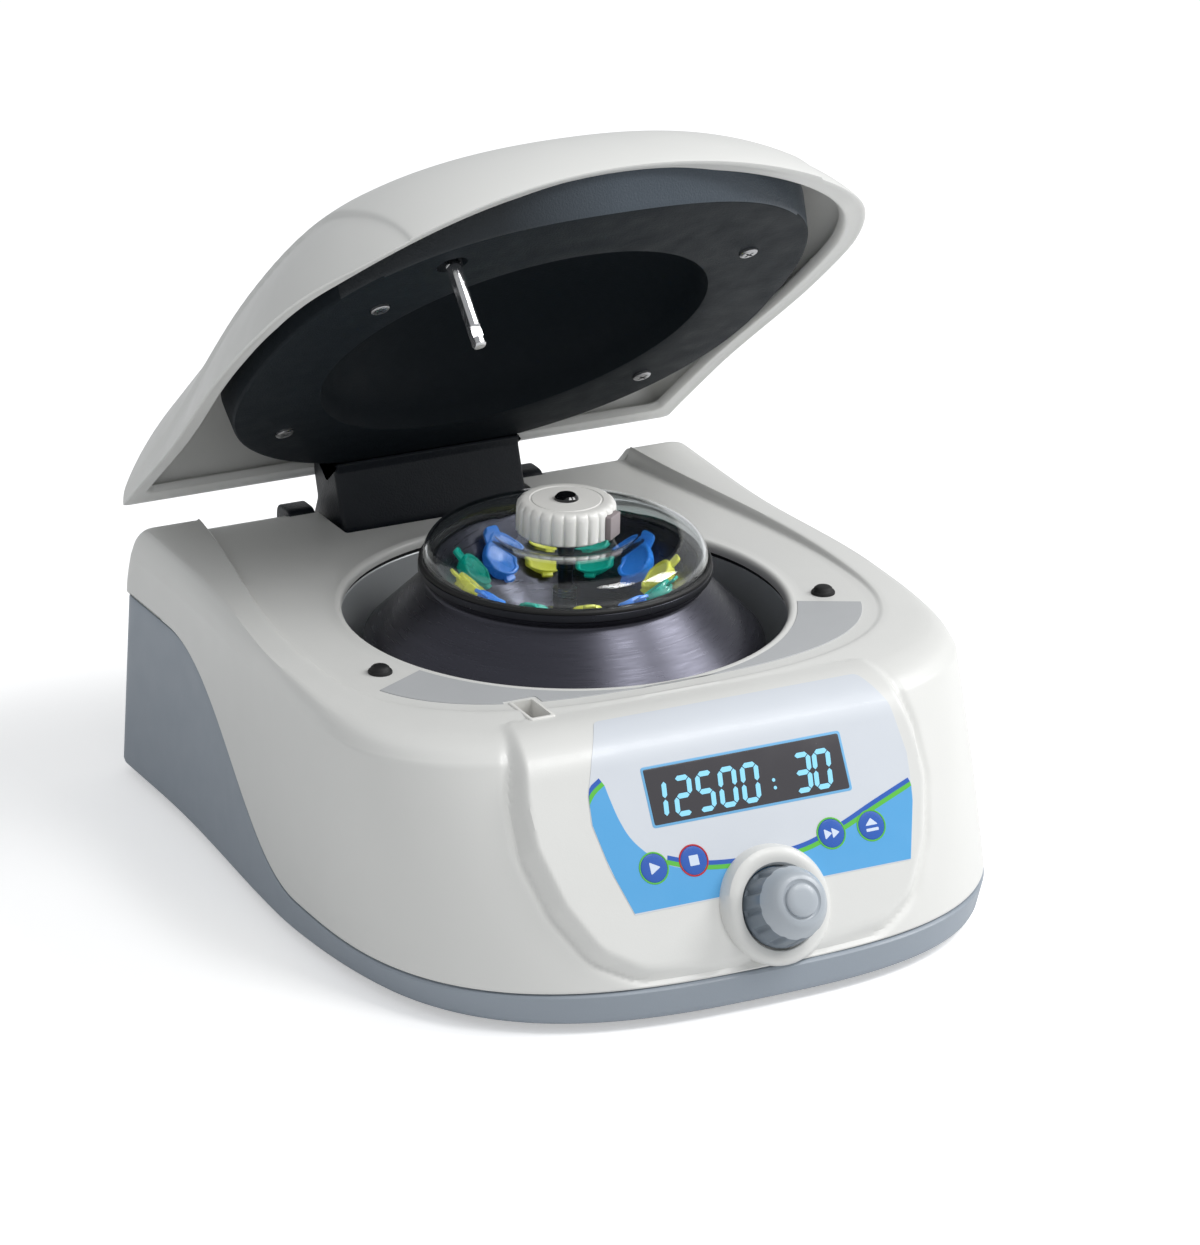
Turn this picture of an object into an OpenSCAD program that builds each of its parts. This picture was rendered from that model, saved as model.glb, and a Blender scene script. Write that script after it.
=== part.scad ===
// Bench microcentrifuge with a hinged lid and a 12-place angle rotor.
// Origin: on the rotor axis, at the height of the bench. The front faces -Y.

/* [Housing] */
// Half width of the housing at its widest place
housing_half_w = 117.5; // [114:0.5:121]
// Half width of the housing at its back
housing_back_half_w = 111; // [109:0.5:113]
// Distance from the rotor axis to the housing's front, at the bench
housing_front = 152; // [149:0.5:156]
// Distance from the rotor axis to the housing's back
housing_back = 126; // [124:0.5:130]
// Height of the deck round the bowl
deck_h = 89; // [87:0.5:91]
// Height of the raised shoulders above the deck, at the back
shoulder_rise = 5.2; // [4:0.2:6]
// Wall thickness of both housing shells
wall = 3; // [2.5:0.1:3.5]
// Height of the two-tone seam at the front
seam_front_h = 14; // [12:0.5:17]
// Depth of the two-tone seam below the deck, at the back
seam_drop = 21.5; // [19:0.5:25]

/* [Bowl and drive] */
// Radius of the opening round the rotor
bowl_r = 75.7; // [74.5:0.1:77]
// Depth of the bowl's underside below the deck
bowl_depth = 39; // [37:0.5:40]
// Sheet thickness of the bowl
bowl_t = 1.5; // [1:0.1:2]
// Radius of the motor
motor_r = 38; // [32:0.5:42]
// Radius of the drive shaft
shaft_r = 4; // [3.5:0.1:4.5]

/* [Rotor] */
// Radius of the rotor's top flange
rotor_flange_r = 50; // [49:0.5:51]
// Height of the rotor's top flange above the deck
rotor_rise = 15; // [13:0.5:16]
// Largest radius of the rotor
rotor_max_r = 68.5; // [67.5:0.25:70]
// Number of tube places
tube_count = 12; // [6:1:12]
// Distance of the tube mouths from the rotor axis
tube_mouth_r = 34.25; // [33.5:0.25:35]
// Radius of a tube's body
tube_r = 5.3; // [4.9:0.1:5.5]
// Length of a tube below its cap
tube_len = 37; // [34:0.5:38]
// Radius of the rotor lid's knob
rotor_knob_r = 17; // [15.5:0.25:18]
// Height of the top of the rotor lid's knob above the rotor's flange
knob_rise = 22.6; // [21:0.2:24]

/* [Lid] */
// Angle between the open lid and the closed one
lid_open = 42.6; // [35:0.1:46]
// Distance of the hinge axis behind the rotor axis
hinge_y = 119; // [118:0.25:120]
// Depth of the hinge axis below the deck
hinge_drop = 9; // [8:0.25:10]
// Half width of the lid at its widest place
lid_half_w = 114.3; // [113:0.1:116]
// Distance from the rotor axis to the front of the closed lid
lid_front = 113; // [111:0.5:116]
// Height of the top of the closed lid above the deck
lid_rise = 53.5; // [51:0.5:60]
// Wall thickness of the lid
lid_wall = 3; // [2.5:0.1:3.5]
// Gap between the closed lid's liner and the deck
liner_gap = 3.3; // [3:0.1:4]
// Radius of the dish in the liner
dish_r = 68; // [66:0.5:70]
// Depth of the dish in the liner
dish_depth = 41; // [39.5:0.5:42]
// Distance of the latch pin and its slot from the rotor axis, sideways
latch_x = 53; // [51:0.5:55]
// Distance of the latch pin and its slot in front of the rotor axis
latch_y = 79.7; // [78:0.1:81]
// Radius of the latch pin
latch_pin_r = 2.5; // [2:0.1:2.8]

/* [Front panel] */
// Slope of the front panel from the horizontal
panel_slope = 59.6; // [58.5:0.1:60.5]
// Width of the display window
display_w = 72.6; // [66:0.2:76]
// Height of the display window along the panel
display_h = 18.6; // [16:0.2:20]
// Sideways place of the display's middle and of the control knob
panel_x = 7.2; // [5:0.2:9]
// Radius of the panel's buttons
button_r = 5.4; // [4.5:0.1:5.8]
// Radius of the control knob at its foot
dial_r = 13.5; // [12.5:0.25:16.5]
// Length of the control knob
dial_len = 20; // [16:0.5:24]

/* [Hidden] */
$fn = 64;

// Clearances between pieces
running_gap = 0.05;

// Outline of the housing and the lid, seen from above
widest_y = -40;
crest_y = -15;
blend_len = 130;
crest_blend_len = 85;
lid_back = 114.8;
crest_back = 114;
lid_back_half_w = 108.7;
crest_half_w = housing_half_w - 5.2;
crest_front = 90;
crest_back_half_w = housing_back_half_w - 6.4;
back_corner_r = 7;
pocket_half_w = housing_half_w - 16.2;
pocket_back_half_w = housing_back_half_w - 29;
pocket_wide_y = -10;
pocket_front = 74;

// Heights in the housing
foot_h = 3;
floor_t = 3;
floor_top = foot_h + floor_t;
bend_h = deck_h - 7;
crest_front_h = deck_h - 0.4;
crest_back_h = deck_h + shoulder_rise - 1.4;
front_rake = (housing_front - 108) / (bend_h - foot_h);
front_swell = 3;
deck_under = deck_h - wall;
seam_back_h = deck_h - seam_drop;
bowl_floor_h = deck_h - bowl_depth;
rotor_top_h = deck_h + rotor_rise;
rotor_knob_top = rotor_top_h + knob_rise;
hinge_z = deck_h - hinge_drop;
lid_top = deck_h + lid_rise;
liner_z = deck_h + liner_gap;

// Lid rim, which rises towards the back and arches over the finger grip at the front
rim_side_h = liner_z - 0.8;
rim_slope = 0.0446;
rim_low_y = -47;
rim_arch = 12.4;
rim_arch_half_w = lid_half_w - 19.3;
lid_crown_y = 12;
lid_angles = [0, 6, 12, 20, 30, 40, 50, 60, 70, 80, 87];

// Front panel plane: a point on it and its frame
panel_y = -121.4;
panel_z = deck_h - 29.3;
panel_depth = 1.6;
panel_t = 1.5;
button_gap = 0.35;
button_s = -13.4;
button_xs = [-32.8, -18.2, 33, 48.1];
dial_s = -34;
dial_shaft_r = 3;
collar_r = 20;

// Hinge
arm_half_w = 36;
notch_half_w = 39.3;
notch_front = 89.8;
barrel_r = 6.4;
hinge_pin_r = 3;
knuckle_in = notch_half_w + 0.5;
knuckle_w = 10;
knuckle_low = seam_back_h + 0.6;
spring_r = 5;
spring_half_len = 11;

// Drive
mount_r = 60;
post_h = 30;
isolator_h = 14;
plate_t = 3;
plate_h = post_h + isolator_h;
motor_low = floor_top + 4;
hub_r = 8;
hub_low = bowl_floor_h + bowl_t + 1;
screw_posts = [
    for (sx = [-1, 1], p = [[housing_half_w - 29.5, housing_back - 22], [housing_half_w - 37.5, -88]])
        [sx * p[0], p[1]]
];

// Back face and power supply
inlet_x = 39 - housing_back_half_w;
inlet_z = 34;
inlet_w = 28;
inlet_d = 22;
switch_x = -24;
switch_w = 20;
switch_d = 22;
bezel_t = 2;
rocker_depth = 3.4;
vent_x = 44;
vent_count = 9;
vent_pitch = 6;
supply_x = housing_back_half_w - 49;
supply_y = housing_back - 44;

// Liner
liner_half_w = lid_half_w - 21.3;
liner_back = 95;
liner_front = 103;
liner_rim_front = 109;
liner_t = 2.5;
liner_rise = 12;
liner_screw_x = 69;
liner_screw_y = 50.5;

// Latch
slot_len = 14;
slot_w = 7;
latch_pin_top = liner_z + 14;
latch_pin_low = liner_z - 30;
latch_top = deck_h - 9;
latch_low = deck_h - 39;
latch_len = 22.5;
latch_wall = 3;
slider_h = deck_h - 23;
slider_t = 3;
slider_len = 13;

// Rotor
mouth_h = rotor_top_h - 9.75;
tilt = 45;
hole_r = tube_r + 0.3;
tube_cap_r = 6.4;
tube_cap_t = 3.9;
flange_t = 2.6;
rotor_foot_h = rotor_top_h - 44;
rotor_well_r = 17;
rotor_well_h = rotor_top_h - 27;
nut_h = 7;
dome_foot_r = rotor_flange_r - 1.6;
dome_t = 1.8;
dome_seat_h = rotor_top_h + 0.8;
rotor_knob_h = 11.6;
stud_r = 3;
shaft_top = rotor_well_h + 19;
tab_angle = -52;
knob_foot = rotor_knob_top - rotor_knob_h + 0.3;

function ease(t) = (1 - cos(180 * min(1, max(0, t)))) / 2;
function mix(a, b, t) = a + (b - a) * t;

// Half outline, from the middle of the front round to the middle of the back
function half_plan(w, front, back, back_w, n, wide_y, blend, corner) =
    let (side_end = back - corner)
    concat(
        [for (i = [0:12]) let (a = 7.5 * i)
            [w * pow(sin(a), 2 / n), wide_y - (front + wide_y) * pow(cos(a), 2 / n)]],
        [for (i = [1:8]) let (y = mix(wide_y, side_end, i / 8))
            [mix(w, back_w, ease((y - wide_y) / blend)), y]],
        [for (a = [30:30:90]) [back_w - corner + corner * cos(a), side_end + corner * sin(a)]],
        [for (t = [0.66, 0.33, 0]) [(back_w - corner) * t, back]]
    );

// Whole outline, clockwise from the front
function plan(w, front, back, back_w, n, wide_y, blend, corner) =
    let (h = half_plan(w, front, back, back_w, n, wide_y, blend, corner), last = len(h) - 1)
    concat(h, [for (i = [last - 1:-1:1]) [-h[i][0], h[i][1]]]);

function seam_h(y) = mix(seam_front_h, seam_back_h, ease((y + 34) / 119));
function crest_h(y) = mix(crest_front_h, crest_back_h, min(1, max(0, (y + 50) / (crest_back + 50))));
function shoulder_h(y) = deck_h + shoulder_rise * min(1, max(0, (y + 45) / (crest_back + 45)));
function rim_h(x, y) = rim_side_h + rim_slope * max(0, y - rim_low_y)
    + (y < crest_y ? rim_arch * pow(max(0, 1 - pow(x / rim_arch_half_w, 2)), 1.5) : 0);

// Outline of the housing's outer face at height z, inset by d
function body_plan(z, d = 0) =
    let (t = (z - foot_h) / (bend_h - foot_h), back_in = 6 * ease((z - seam_back_h) / 30))
    plan(housing_half_w - 2.5 * t - d,
        housing_front - front_rake * (z - foot_h) + front_swell * sin(180 * t) - d * 1.15,
        housing_back - back_in - d, housing_back_half_w - 2.2 * t - d,
        2.8 + 0.3 * t, widest_y, blend_len, back_corner_r);

// Outline of the crest where the housing's side turns into its top, inset by d
function crest_plan(d = 0) = plan(crest_half_w - d, crest_front - d, crest_back - d,
    crest_back_half_w - d, 3.3, crest_y, crest_blend_len, 4);

function lid_plan(d = 0) = plan(lid_half_w - d, lid_front - d, lid_back - d,
    lid_back_half_w - d, 3, crest_y, crest_blend_len, 4);

// Outline of the deck between the shoulders; it runs out through the back
function pocket_half(d) = [
    for (i = [0:12]) let (a = 7.5 * i)
        [(pocket_half_w - d) * pow(sin(a), 2 / 2.8),
            pocket_wide_y - (pocket_front - d) * pow(cos(a), 2 / 2.8)],
    for (i = [1:8]) let (y = mix(pocket_wide_y, housing_back + 8, i / 8))
        [mix(pocket_half_w, pocket_back_half_w, ease((y - pocket_wide_y) / 150)) - d, y]
];
function pocket_plan(d) = let (h = pocket_half(d))
    concat(h, [for (i = [len(h) - 1:-1:1]) [-h[i][0], h[i][1]]]);

// Outline of the lid's liner, grown by d
function liner_half(d, front) = concat(
    [for (a = [0:7.5:90]) [(liner_half_w + d) * pow(sin(a), 2 / 2.6), -front * pow(cos(a), 2 / 2.6)]],
    [for (a = [7.5:7.5:90])
        [(liner_half_w + d) * pow(cos(a), 2 / 2.2), (liner_back + d) * pow(sin(a), 2 / 2.2)]]
);
function liner_plan(d, front) = let (h = liner_half(d, front), last = len(h) - 1)
    concat(h, [for (i = [last - 1:-1:1]) [-h[i][0], h[i][1]]]);

function at_h(outline, z) = [for (p = outline) [p[0], p[1], z]];
function ring_mix(a, b, t) = [for (i = [0:len(a) - 1]) mix(a[i], b[i], t)];

// Solid through a list of rings with the same number of points, lowest ring first
module loft(rings) {
    n = len(rings[0]);
    m = len(rings);
    low = [for (a = [0:2]) [for (p = rings[0]) p[a]] * [for (p = rings[0]) 1] / n];
    top = [for (a = [0:2]) [for (p = rings[m - 1]) p[a]] * [for (p = rings[m - 1]) 1] / n];
    points = concat([for (r = rings) each r], [low, top]);
    faces = concat(
        [for (j = [0:m - 2], i = [0:n - 1]) let (k = (i + 1) % n)
            [j * n + i, (j + 1) * n + i, j * n + k]],
        [for (j = [0:m - 2], i = [0:n - 1]) let (k = (i + 1) % n)
            [j * n + k, (j + 1) * n + i, (j + 1) * n + k]],
        [for (i = [0:n - 1]) [n * m, i, (i + 1) % n]],
        [for (i = [0:n - 1]) [n * m + 1, (m - 1) * n + (i + 1) % n, (m - 1) * n + i]]
    );
    polyhedron(points = points, faces = faces, convexity = 8);
}

// Box centred on x and y that stands on z
module block(x, y, z, size) {
    translate([x - size[0] / 2, y - size[1] / 2, z]) cube(size);
}

// Rounded plate, centred on x and y
module rounded_plate(w, d, h, r) {
    linear_extrude(height = h) union() {
        square([w - 2 * r, d], center = true);
        square([w, d - 2 * r], center = true);
        for (sx = [-1, 1], sy = [-1, 1])
            translate([sx * (w / 2 - r), sy * (d / 2 - r)]) circle(r = r, $fn = 32);
    }
}

// Children placed on the front panel: x sideways, s up the slope, h out of it
module on_panel(x, s, h = 0) {
    translate([0, panel_y, panel_z]) rotate([panel_slope, 0, 0]) translate([x, s, h]) children();
}

// Children drawn with the lid closed, turned to the open lid
module open_lid() {
    translate([0, hinge_y, hinge_z]) rotate([-lid_open, 0, 0])
        translate([0, -hinge_y, -hinge_z]) children();
}

// Two-tone housing
function seam_ring(d, lift) = let (low = body_plan(foot_h, d), high = body_plan(bend_h, d))
    [for (i = [0:len(low) - 1])
        let (z = seam_h(low[i][1]) + lift, t = (z - foot_h) / (bend_h - foot_h))
        [each mix(low[i], high[i], t), z]];
function crest_ring(d, drop, t) = let (low = body_plan(bend_h, d), high = crest_plan(d))
    [for (i = [0:len(low) - 1]) let (q = mix(low[i], high[i], t))
        [each q, mix(bend_h, crest_h(q[1]), 1 - drop)]];

module housing_outer(lift) {
    loft([
        seam_ring(0, lift),
        ring_mix(seam_ring(0, lift), at_h(body_plan(bend_h), bend_h), 0.5),
        at_h(body_plan(bend_h), bend_h),
        crest_ring(0, 0.45, 0.28),
        crest_ring(0, 0.12, 0.66),
        crest_ring(0, 0, 1),
        [for (p = crest_plan(14)) [each p, shoulder_h(p[1])]]
    ]);
}

module housing_inner(lift) {
    loft([
        seam_ring(wall, lift),
        at_h(body_plan(bend_h - 4, wall), bend_h - 4),
        at_h(crest_plan(wall + 2.5), deck_under - 1),
        at_h(crest_plan(wall + 7), deck_under)
    ]);
}

module panel_outline(grow) {
    polygon([
        [-43.5 - grow, -27 - grow], [60 + grow, -27 - grow], [66 + grow, -7],
        [67.2 + grow, 8], [65 + grow, 21], [63 + grow, 25 + grow], [-45.5 - grow, 25 + grow],
        [-48 - grow, 18], [-50.5 - grow, 5], [-49 - grow, -11]
    ]);
}

module latch_slot(grow) {
    linear_extrude(height = 60) translate([-latch_x, -latch_y])
        square([slot_w + 2 * grow, slot_len + 2 * grow], center = true);
}

module pad_outline() {
    polygon([
        [-30, -47], [40, -47], [55, -39], [67, -27], [73, -5], [74, 15], [73, 34],
        [-54, 34], [-57, 20], [-59, 0], [-57, -18], [-48, -37]
    ]);
}

module upper_housing() {
    color([0.86, 0.86, 0.84]) difference() {
        union() {
            housing_outer(0.15);
            intersection() {
                on_panel(0, 0, -16) linear_extrude(height = 16) pad_outline();
                translate([-100, -170, seam_front_h + 1.5]) cube([200, 120, bend_h - seam_front_h]);
            }
        }
        housing_inner(-1);
        loft([at_h(pocket_plan(1.6), deck_h), at_h(pocket_plan(-1.6), deck_h + 8)]);
        translate([0, 0, deck_h - 10]) cylinder(r = bowl_r, h = 20, $fn = 128);
        translate([-notch_half_w, notch_front, deck_h - 40])
            cube([2 * notch_half_w, 60, 60]);
        translate([-knuckle_in - knuckle_w - 0.5, hinge_y - 6.5, seam_back_h + 0.15])
            cube([2 * (knuckle_in + knuckle_w + 0.5), 40, 60]);
        on_panel(0, 0, -panel_depth) linear_extrude(height = 12) difference() {
            panel_outline(0.4);
            translate([panel_x, dial_s]) circle(r = collar_r + 0.6);
        }
        on_panel(panel_x, display_h / 2, -20)
            block(0, 0, 0, [display_w - 2, display_h - 2, 40]);
        for (x = button_xs) on_panel(x, button_s, -20) cylinder(r = button_r - 1.4, h = 30);
        on_panel(panel_x, dial_s, -20) cylinder(r = dial_shaft_r + 1.5, h = 40);
        translate([0, 0, deck_h - 20]) latch_slot(1.6);
    }
}

module lower_housing() {
    color([0.6, 0.61, 0.62]) difference() {
        union() {
            difference() {
                loft([
                    at_h(body_plan(foot_h, 2), foot_h),
                    at_h(body_plan(foot_h + 2), foot_h + 2),
                    seam_ring(0, -0.15)
                ]);
                loft([
                    at_h(body_plan(floor_top, wall), floor_top),
                    at_h(body_plan(floor_top + 2, wall), floor_top + 2),
                    seam_ring(wall, 0.5)
                ]);
            }
            for (a = [45:90:315]) rotate(a) translate([mount_r, 0, floor_top - 0.5])
                cylinder(r = 8, h = post_h - floor_top + 0.5);
        }
        for (p = screw_posts) translate([p[0], p[1], 0]) cylinder(r = 2.2, h = 12);
        on_back(inlet_x) back_cut(inlet_w, inlet_d, 2);
        on_back(switch_x) back_cut(switch_w, switch_d, 2);
        for (i = [0:vent_count - 1])
            on_back(vent_x + (i - (vent_count - 1) / 2) * vent_pitch) back_cut(2.6, 24, 1.2);
    }
}

// Children placed on the back face: x sideways, y up, z into the housing
module on_back(x) {
    translate([x, housing_back, inlet_z]) rotate([90, 0, 0]) children();
}
module back_cut(w, d, r) {
    translate([0, 0, -2 * wall]) rounded_plate(w, d, 4 * wall, r);
}

module housing_screws() {
    color([0.7, 0.7, 0.72]) for (p = screw_posts) translate([p[0], p[1], foot_h - 1.4]) {
        cylinder(r = 3.6, h = 1.4);
        cylinder(r = 2, h = 9);
    }
}

module feet() {
    color([0.12, 0.12, 0.13]) for (p = screw_posts) translate([p[0] * 0.84, p[1], 0])
        cylinder(r1 = 7, r2 = 8, h = foot_h);
}

// Bowl, motor and what carries them
module bowl() {
    top = deck_under - 1.5;
    r = bowl_r + 0.5;
    color([0.22, 0.22, 0.24]) rotate_extrude($fn = 128) polygon([
        [9, bowl_floor_h], [r - 10, bowl_floor_h], [r - 3, bowl_floor_h + 3],
        [r + bowl_t, bowl_floor_h + 11], [r + bowl_t, top - bowl_t], [r + 7, top - bowl_t],
        [r + 7, top], [r, top], [r, bowl_floor_h + 12], [r - 4, bowl_floor_h + bowl_t + 3],
        [r - 10.5, bowl_floor_h + bowl_t], [9, bowl_floor_h + bowl_t]
    ]);
}

module bowl_gasket() {
    color([0.15, 0.15, 0.16]) translate([0, 0, deck_under - 1.5])
        difference() {
            cylinder(r = bowl_r + 4, h = 1.5);
            translate([0, 0, -1]) cylinder(r = bowl_r + 0.8, h = 4);
        }
}

module motor() {
    color([0.5, 0.5, 0.52]) difference() {
        union() {
            translate([0, 0, motor_low]) cylinder(r = motor_r, h = plate_h - motor_low);
            translate([0, 0, motor_low - 2]) cylinder(r = 12, h = 3);
        }
        cylinder(r = shaft_r + running_gap, h = 100);
    }
}

module motor_plate() {
    color([0.65, 0.66, 0.68]) translate([0, 0, plate_h]) difference() {
        cylinder(r = mount_r + 10, h = plate_t);
        translate([0, 0, -1]) cylinder(r = 14, h = 10);
        for (a = [45:90:315]) rotate(a) translate([mount_r, 0, -1]) cylinder(r = 2.2, h = 10);
    }
}

module motor_mounts() {
    color([0.1, 0.1, 0.1]) for (a = [45:90:315]) rotate(a) translate([mount_r, 0, post_h])
        difference() {
            cylinder(r = 7, h = isolator_h);
            translate([0, 0, 4]) cylinder(r = 2.2, h = isolator_h);
        }
}

module plate_screws() {
    color([0.75, 0.75, 0.77]) for (a = [45:90:315]) rotate(a) translate([mount_r, 0, plate_h - 8]) {
        cylinder(r = 2, h = 8 + plate_t);
        translate([0, 0, 8 + plate_t]) cylinder(r = 4, h = 2);
    }
}

module drive_board() {
    color([0.1, 0.35, 0.2]) {
        block(0, -84, floor_top, [90, 26, 1.6]);
        for (x = [-30:20:30]) block(x, -84, floor_top + 1.6, [9, 12, 7]);
    }
}

module power_supply() {
    color([0.7, 0.6, 0.25]) {
        block(supply_x, supply_y, floor_top, [44, 40, 4]);
        block(supply_x, supply_y, floor_top + 4, [36, 32, 34]);
    }
}

module power_inlet() {
    color([0.1, 0.1, 0.11]) on_back(inlet_x) {
        difference() {
            union() {
                translate([0, 0, -bezel_t]) rounded_plate(inlet_w + 8, inlet_d + 5, bezel_t, 2);
                translate([0, 0, -0.5]) rounded_plate(inlet_w - 0.6, inlet_d - 0.6, 20, 2);
            }
            translate([0, 0, -3]) rounded_plate(inlet_w - 5, inlet_d - 5, 18, 2);
        }
        for (p = [[-6.5, -2], [0, 3.5], [6.5, -2]]) block(p[0], p[1], 2, [4, 2, 14]);
    }
}

module rocker_switch() {
    color([0.12, 0.12, 0.13]) on_back(switch_x) difference() {
        union() {
            translate([0, 0, -bezel_t]) rounded_plate(switch_w + 4, switch_d + 4, bezel_t, 2);
            translate([0, 0, -0.5]) rounded_plate(switch_w - 0.6, switch_d - 0.6, 16, 2);
        }
        translate([0, 0, -3]) rounded_plate(switch_w - 4, switch_d - 4, 12, 1);
    }
}

module rocker_key() {
    key_w = switch_w - 5;
    color([0.1, 0.1, 0.11]) on_back(switch_x) intersection() {
        translate([-key_w / 2, 0, rocker_depth]) rotate([0, 90, 0]) cylinder(r = 9.6, h = key_w);
        block(0, 0, -2.8, [switch_w, switch_d - 6.4, 10]);
    }
}

// Front panel
module fascia() {
    color([0.84, 0.87, 0.9]) on_panel(0, 0, -panel_depth) linear_extrude(height = panel_t)
        difference() {
            panel_outline(0);
            translate([panel_x, display_h / 2]) square([display_w + 0.2, display_h + 0.2], center = true);
            for (x = button_xs) translate([x, button_s]) circle(r = button_r + button_gap);
            translate([panel_x, dial_s]) circle(r = collar_r + 1);
        }
}

module display_window() {
    color([0.2, 0.22, 0.26]) on_panel(panel_x, display_h / 2, -panel_depth)
        block(0, 0, 0, [display_w, display_h, 1.4]);
}

module display_board() {
    color([0.1, 0.3, 0.2]) on_panel(panel_x, display_h / 2, 0) {
        block(0, 0, -14, [display_w + 12, display_h + 6, 1.6]);
        block(0, 0, -12.4, [display_w - 3.4, display_h - 3.4, 10.5]);
    }
}

module panel_button(x, paint) {
    color(paint) on_panel(x, button_s) {
        translate([0, 0, -0.4]) cylinder(r = button_r, h = 0.9);
        translate([0, 0, -9]) cylinder(r = button_r - 2.4, h = 8.7);
    }
}
module start_button() { panel_button(button_xs[0], [0.15, 0.35, 0.7]); }
module stop_button() { panel_button(button_xs[1], [0.15, 0.3, 0.65]); }
module pulse_button() { panel_button(button_xs[2], [0.15, 0.35, 0.7]); }
module release_button() { panel_button(button_xs[3], [0.15, 0.35, 0.7]); }

module dial_collar() {
    color([0.88, 0.88, 0.87]) on_panel(panel_x, dial_s) difference() {
        cylinder(r1 = collar_r, r2 = collar_r - 2, h = 5.5);
        translate([0, 0, -1]) cylinder(r = dial_r + 1, h = 10);
    }
}

module dial_encoder() {
    color([0.3, 0.3, 0.32]) on_panel(panel_x, dial_s) difference() {
        union() {
            block(0, 0, -22, [14, 14, 7]);
            translate([0, 0, -15.5]) cylinder(r = dial_shaft_r + 1.4, h = 16);
        }
        translate([0, 0, -16]) cylinder(r = dial_shaft_r + running_gap, h = 30);
    }
}

module control_dial() {
    color([0.68, 0.69, 0.7]) on_panel(panel_x, dial_s) difference() {
        union() {
            translate([0, 0, 1]) cylinder(r1 = dial_r, r2 = dial_r - 1, h = dial_len * 0.62);
            translate([0, 0, 1 + dial_len * 0.62])
                cylinder(r1 = dial_r - 1, r2 = dial_r - 4.5, h = dial_len * 0.38);
            translate([0, 0, -15]) cylinder(r = dial_shaft_r, h = 18);
        }
        for (a = [0:30:330]) rotate(a) translate([dial_r + 1.2, 0, 4]) cylinder(r = 2.2, h = dial_len);
    }
}

// What lies on the deck
module deck_label() {
    color([0.62, 0.63, 0.64]) translate([0, 0, deck_h]) linear_extrude(height = 0.3) difference() {
        intersection() {
            polygon(pocket_plan(5));
            polygon([[0, 0], [-150, -70], [0, -200], [150, -67]]);
        }
        circle(r = bowl_r + 3, $fn = 128);
        translate([-latch_x, -latch_y]) square([slot_w + 6, slot_len + 6], center = true);
    }
}

module deck_bumpers() {
    color([0.06, 0.06, 0.07]) for (sx = [-1, 1]) translate([sx * 83.8, -29.7, deck_h])
        rotate_extrude() polygon([[0, 0], [4.1, 0], [4.1, 0.9], [3.2, 2], [1.8, 2.5], [0, 2.6]]);
}

module latch_frame() {
    color([0.9, 0.9, 0.88]) difference() {
        union() {
            translate([-latch_x, -latch_y, latch_top + 0.3])
                rounded_plate(slot_w + 2.8, slot_len + 2.8, deck_h - latch_top, 1);
            translate([-latch_x, -latch_y, deck_h]) rounded_plate(slot_w + 5, slot_len + 5, 0.7, 1.4);
        }
        translate([0, 0, latch_low]) latch_slot(0);
    }
}

module latch_body() {
    color([0.16, 0.16, 0.17]) difference() {
        union() {
            block(-latch_x, -latch_y, latch_low, [slot_w + 2 * latch_wall, slot_len + 2 * latch_wall,
                latch_top - latch_low]);
            block(-latch_x, -latch_y - latch_len / 2, latch_low,
                [slot_w + 2 * latch_wall, latch_len, 28]);
        }
        translate([0, 0, latch_low + 3]) latch_slot(0);
        translate([-latch_x - 3.3, -latch_y - latch_len + 1.5, slider_h - 0.3])
            cube([6.6, latch_len - 1.5, slider_t + 0.6]);
    }
}

module latch_slider() {
    color([0.75, 0.76, 0.78])
        block(-latch_x, -latch_y - (slot_len + slider_len + 1) / 2, slider_h, [6, slider_len, slider_t]);
}

// Hinge
module hinge_brackets() {
    color([0.08, 0.08, 0.09]) for (sx = [-1, 1]) difference() {
        union() {
            translate([sx * (knuckle_in + knuckle_w / 2) - knuckle_w / 2, hinge_y - 6, knuckle_low])
                cube([knuckle_w, 12, deck_h + 1.2 - knuckle_low]);
            translate([sx * (knuckle_in + knuckle_w / 2) - knuckle_w / 2, hinge_y - 11, floor_top])
                cube([knuckle_w, 12, knuckle_low - floor_top + 1]);
        }
        translate([-100, hinge_y, hinge_z]) rotate([0, 90, 0]) cylinder(r = hinge_pin_r, h = 200);
    }
}

module hinge_pin() {
    color([0.75, 0.76, 0.78]) translate([-knuckle_in - 9, hinge_y, hinge_z]) rotate([0, 90, 0])
        cylinder(r = hinge_pin_r, h = 2 * knuckle_in + 18);
}

module hinge_springs() {
    color([0.6, 0.6, 0.62]) translate([-spring_half_len, hinge_y, hinge_z]) rotate([0, 90, 0])
        difference() {
            cylinder(r = spring_r, h = 2 * spring_half_len);
            translate([0, 0, -1]) cylinder(r = hinge_pin_r, h = 40);
        }
}

// Lid
// One ring of the lid at angle a from the rim to the crown, inset by d; drop lowers its rim
function lid_ring(a, d, drop) = let (s = pow(cos(a), 0.58), h = pow(sin(a), 1.7))
    [for (p = lid_plan(d)) let (z = rim_h(p[0], p[1]) - drop)
        [p[0] * s, lid_crown_y + (p[1] - lid_crown_y) * s, z + (lid_top - d - z) * h]];

// Domed solid; its rim is lowered by drop
module lid_dome(d, drop) {
    loft([for (a = lid_angles) lid_ring(a, d, a == 0 ? drop : 0)]);
}

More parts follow.
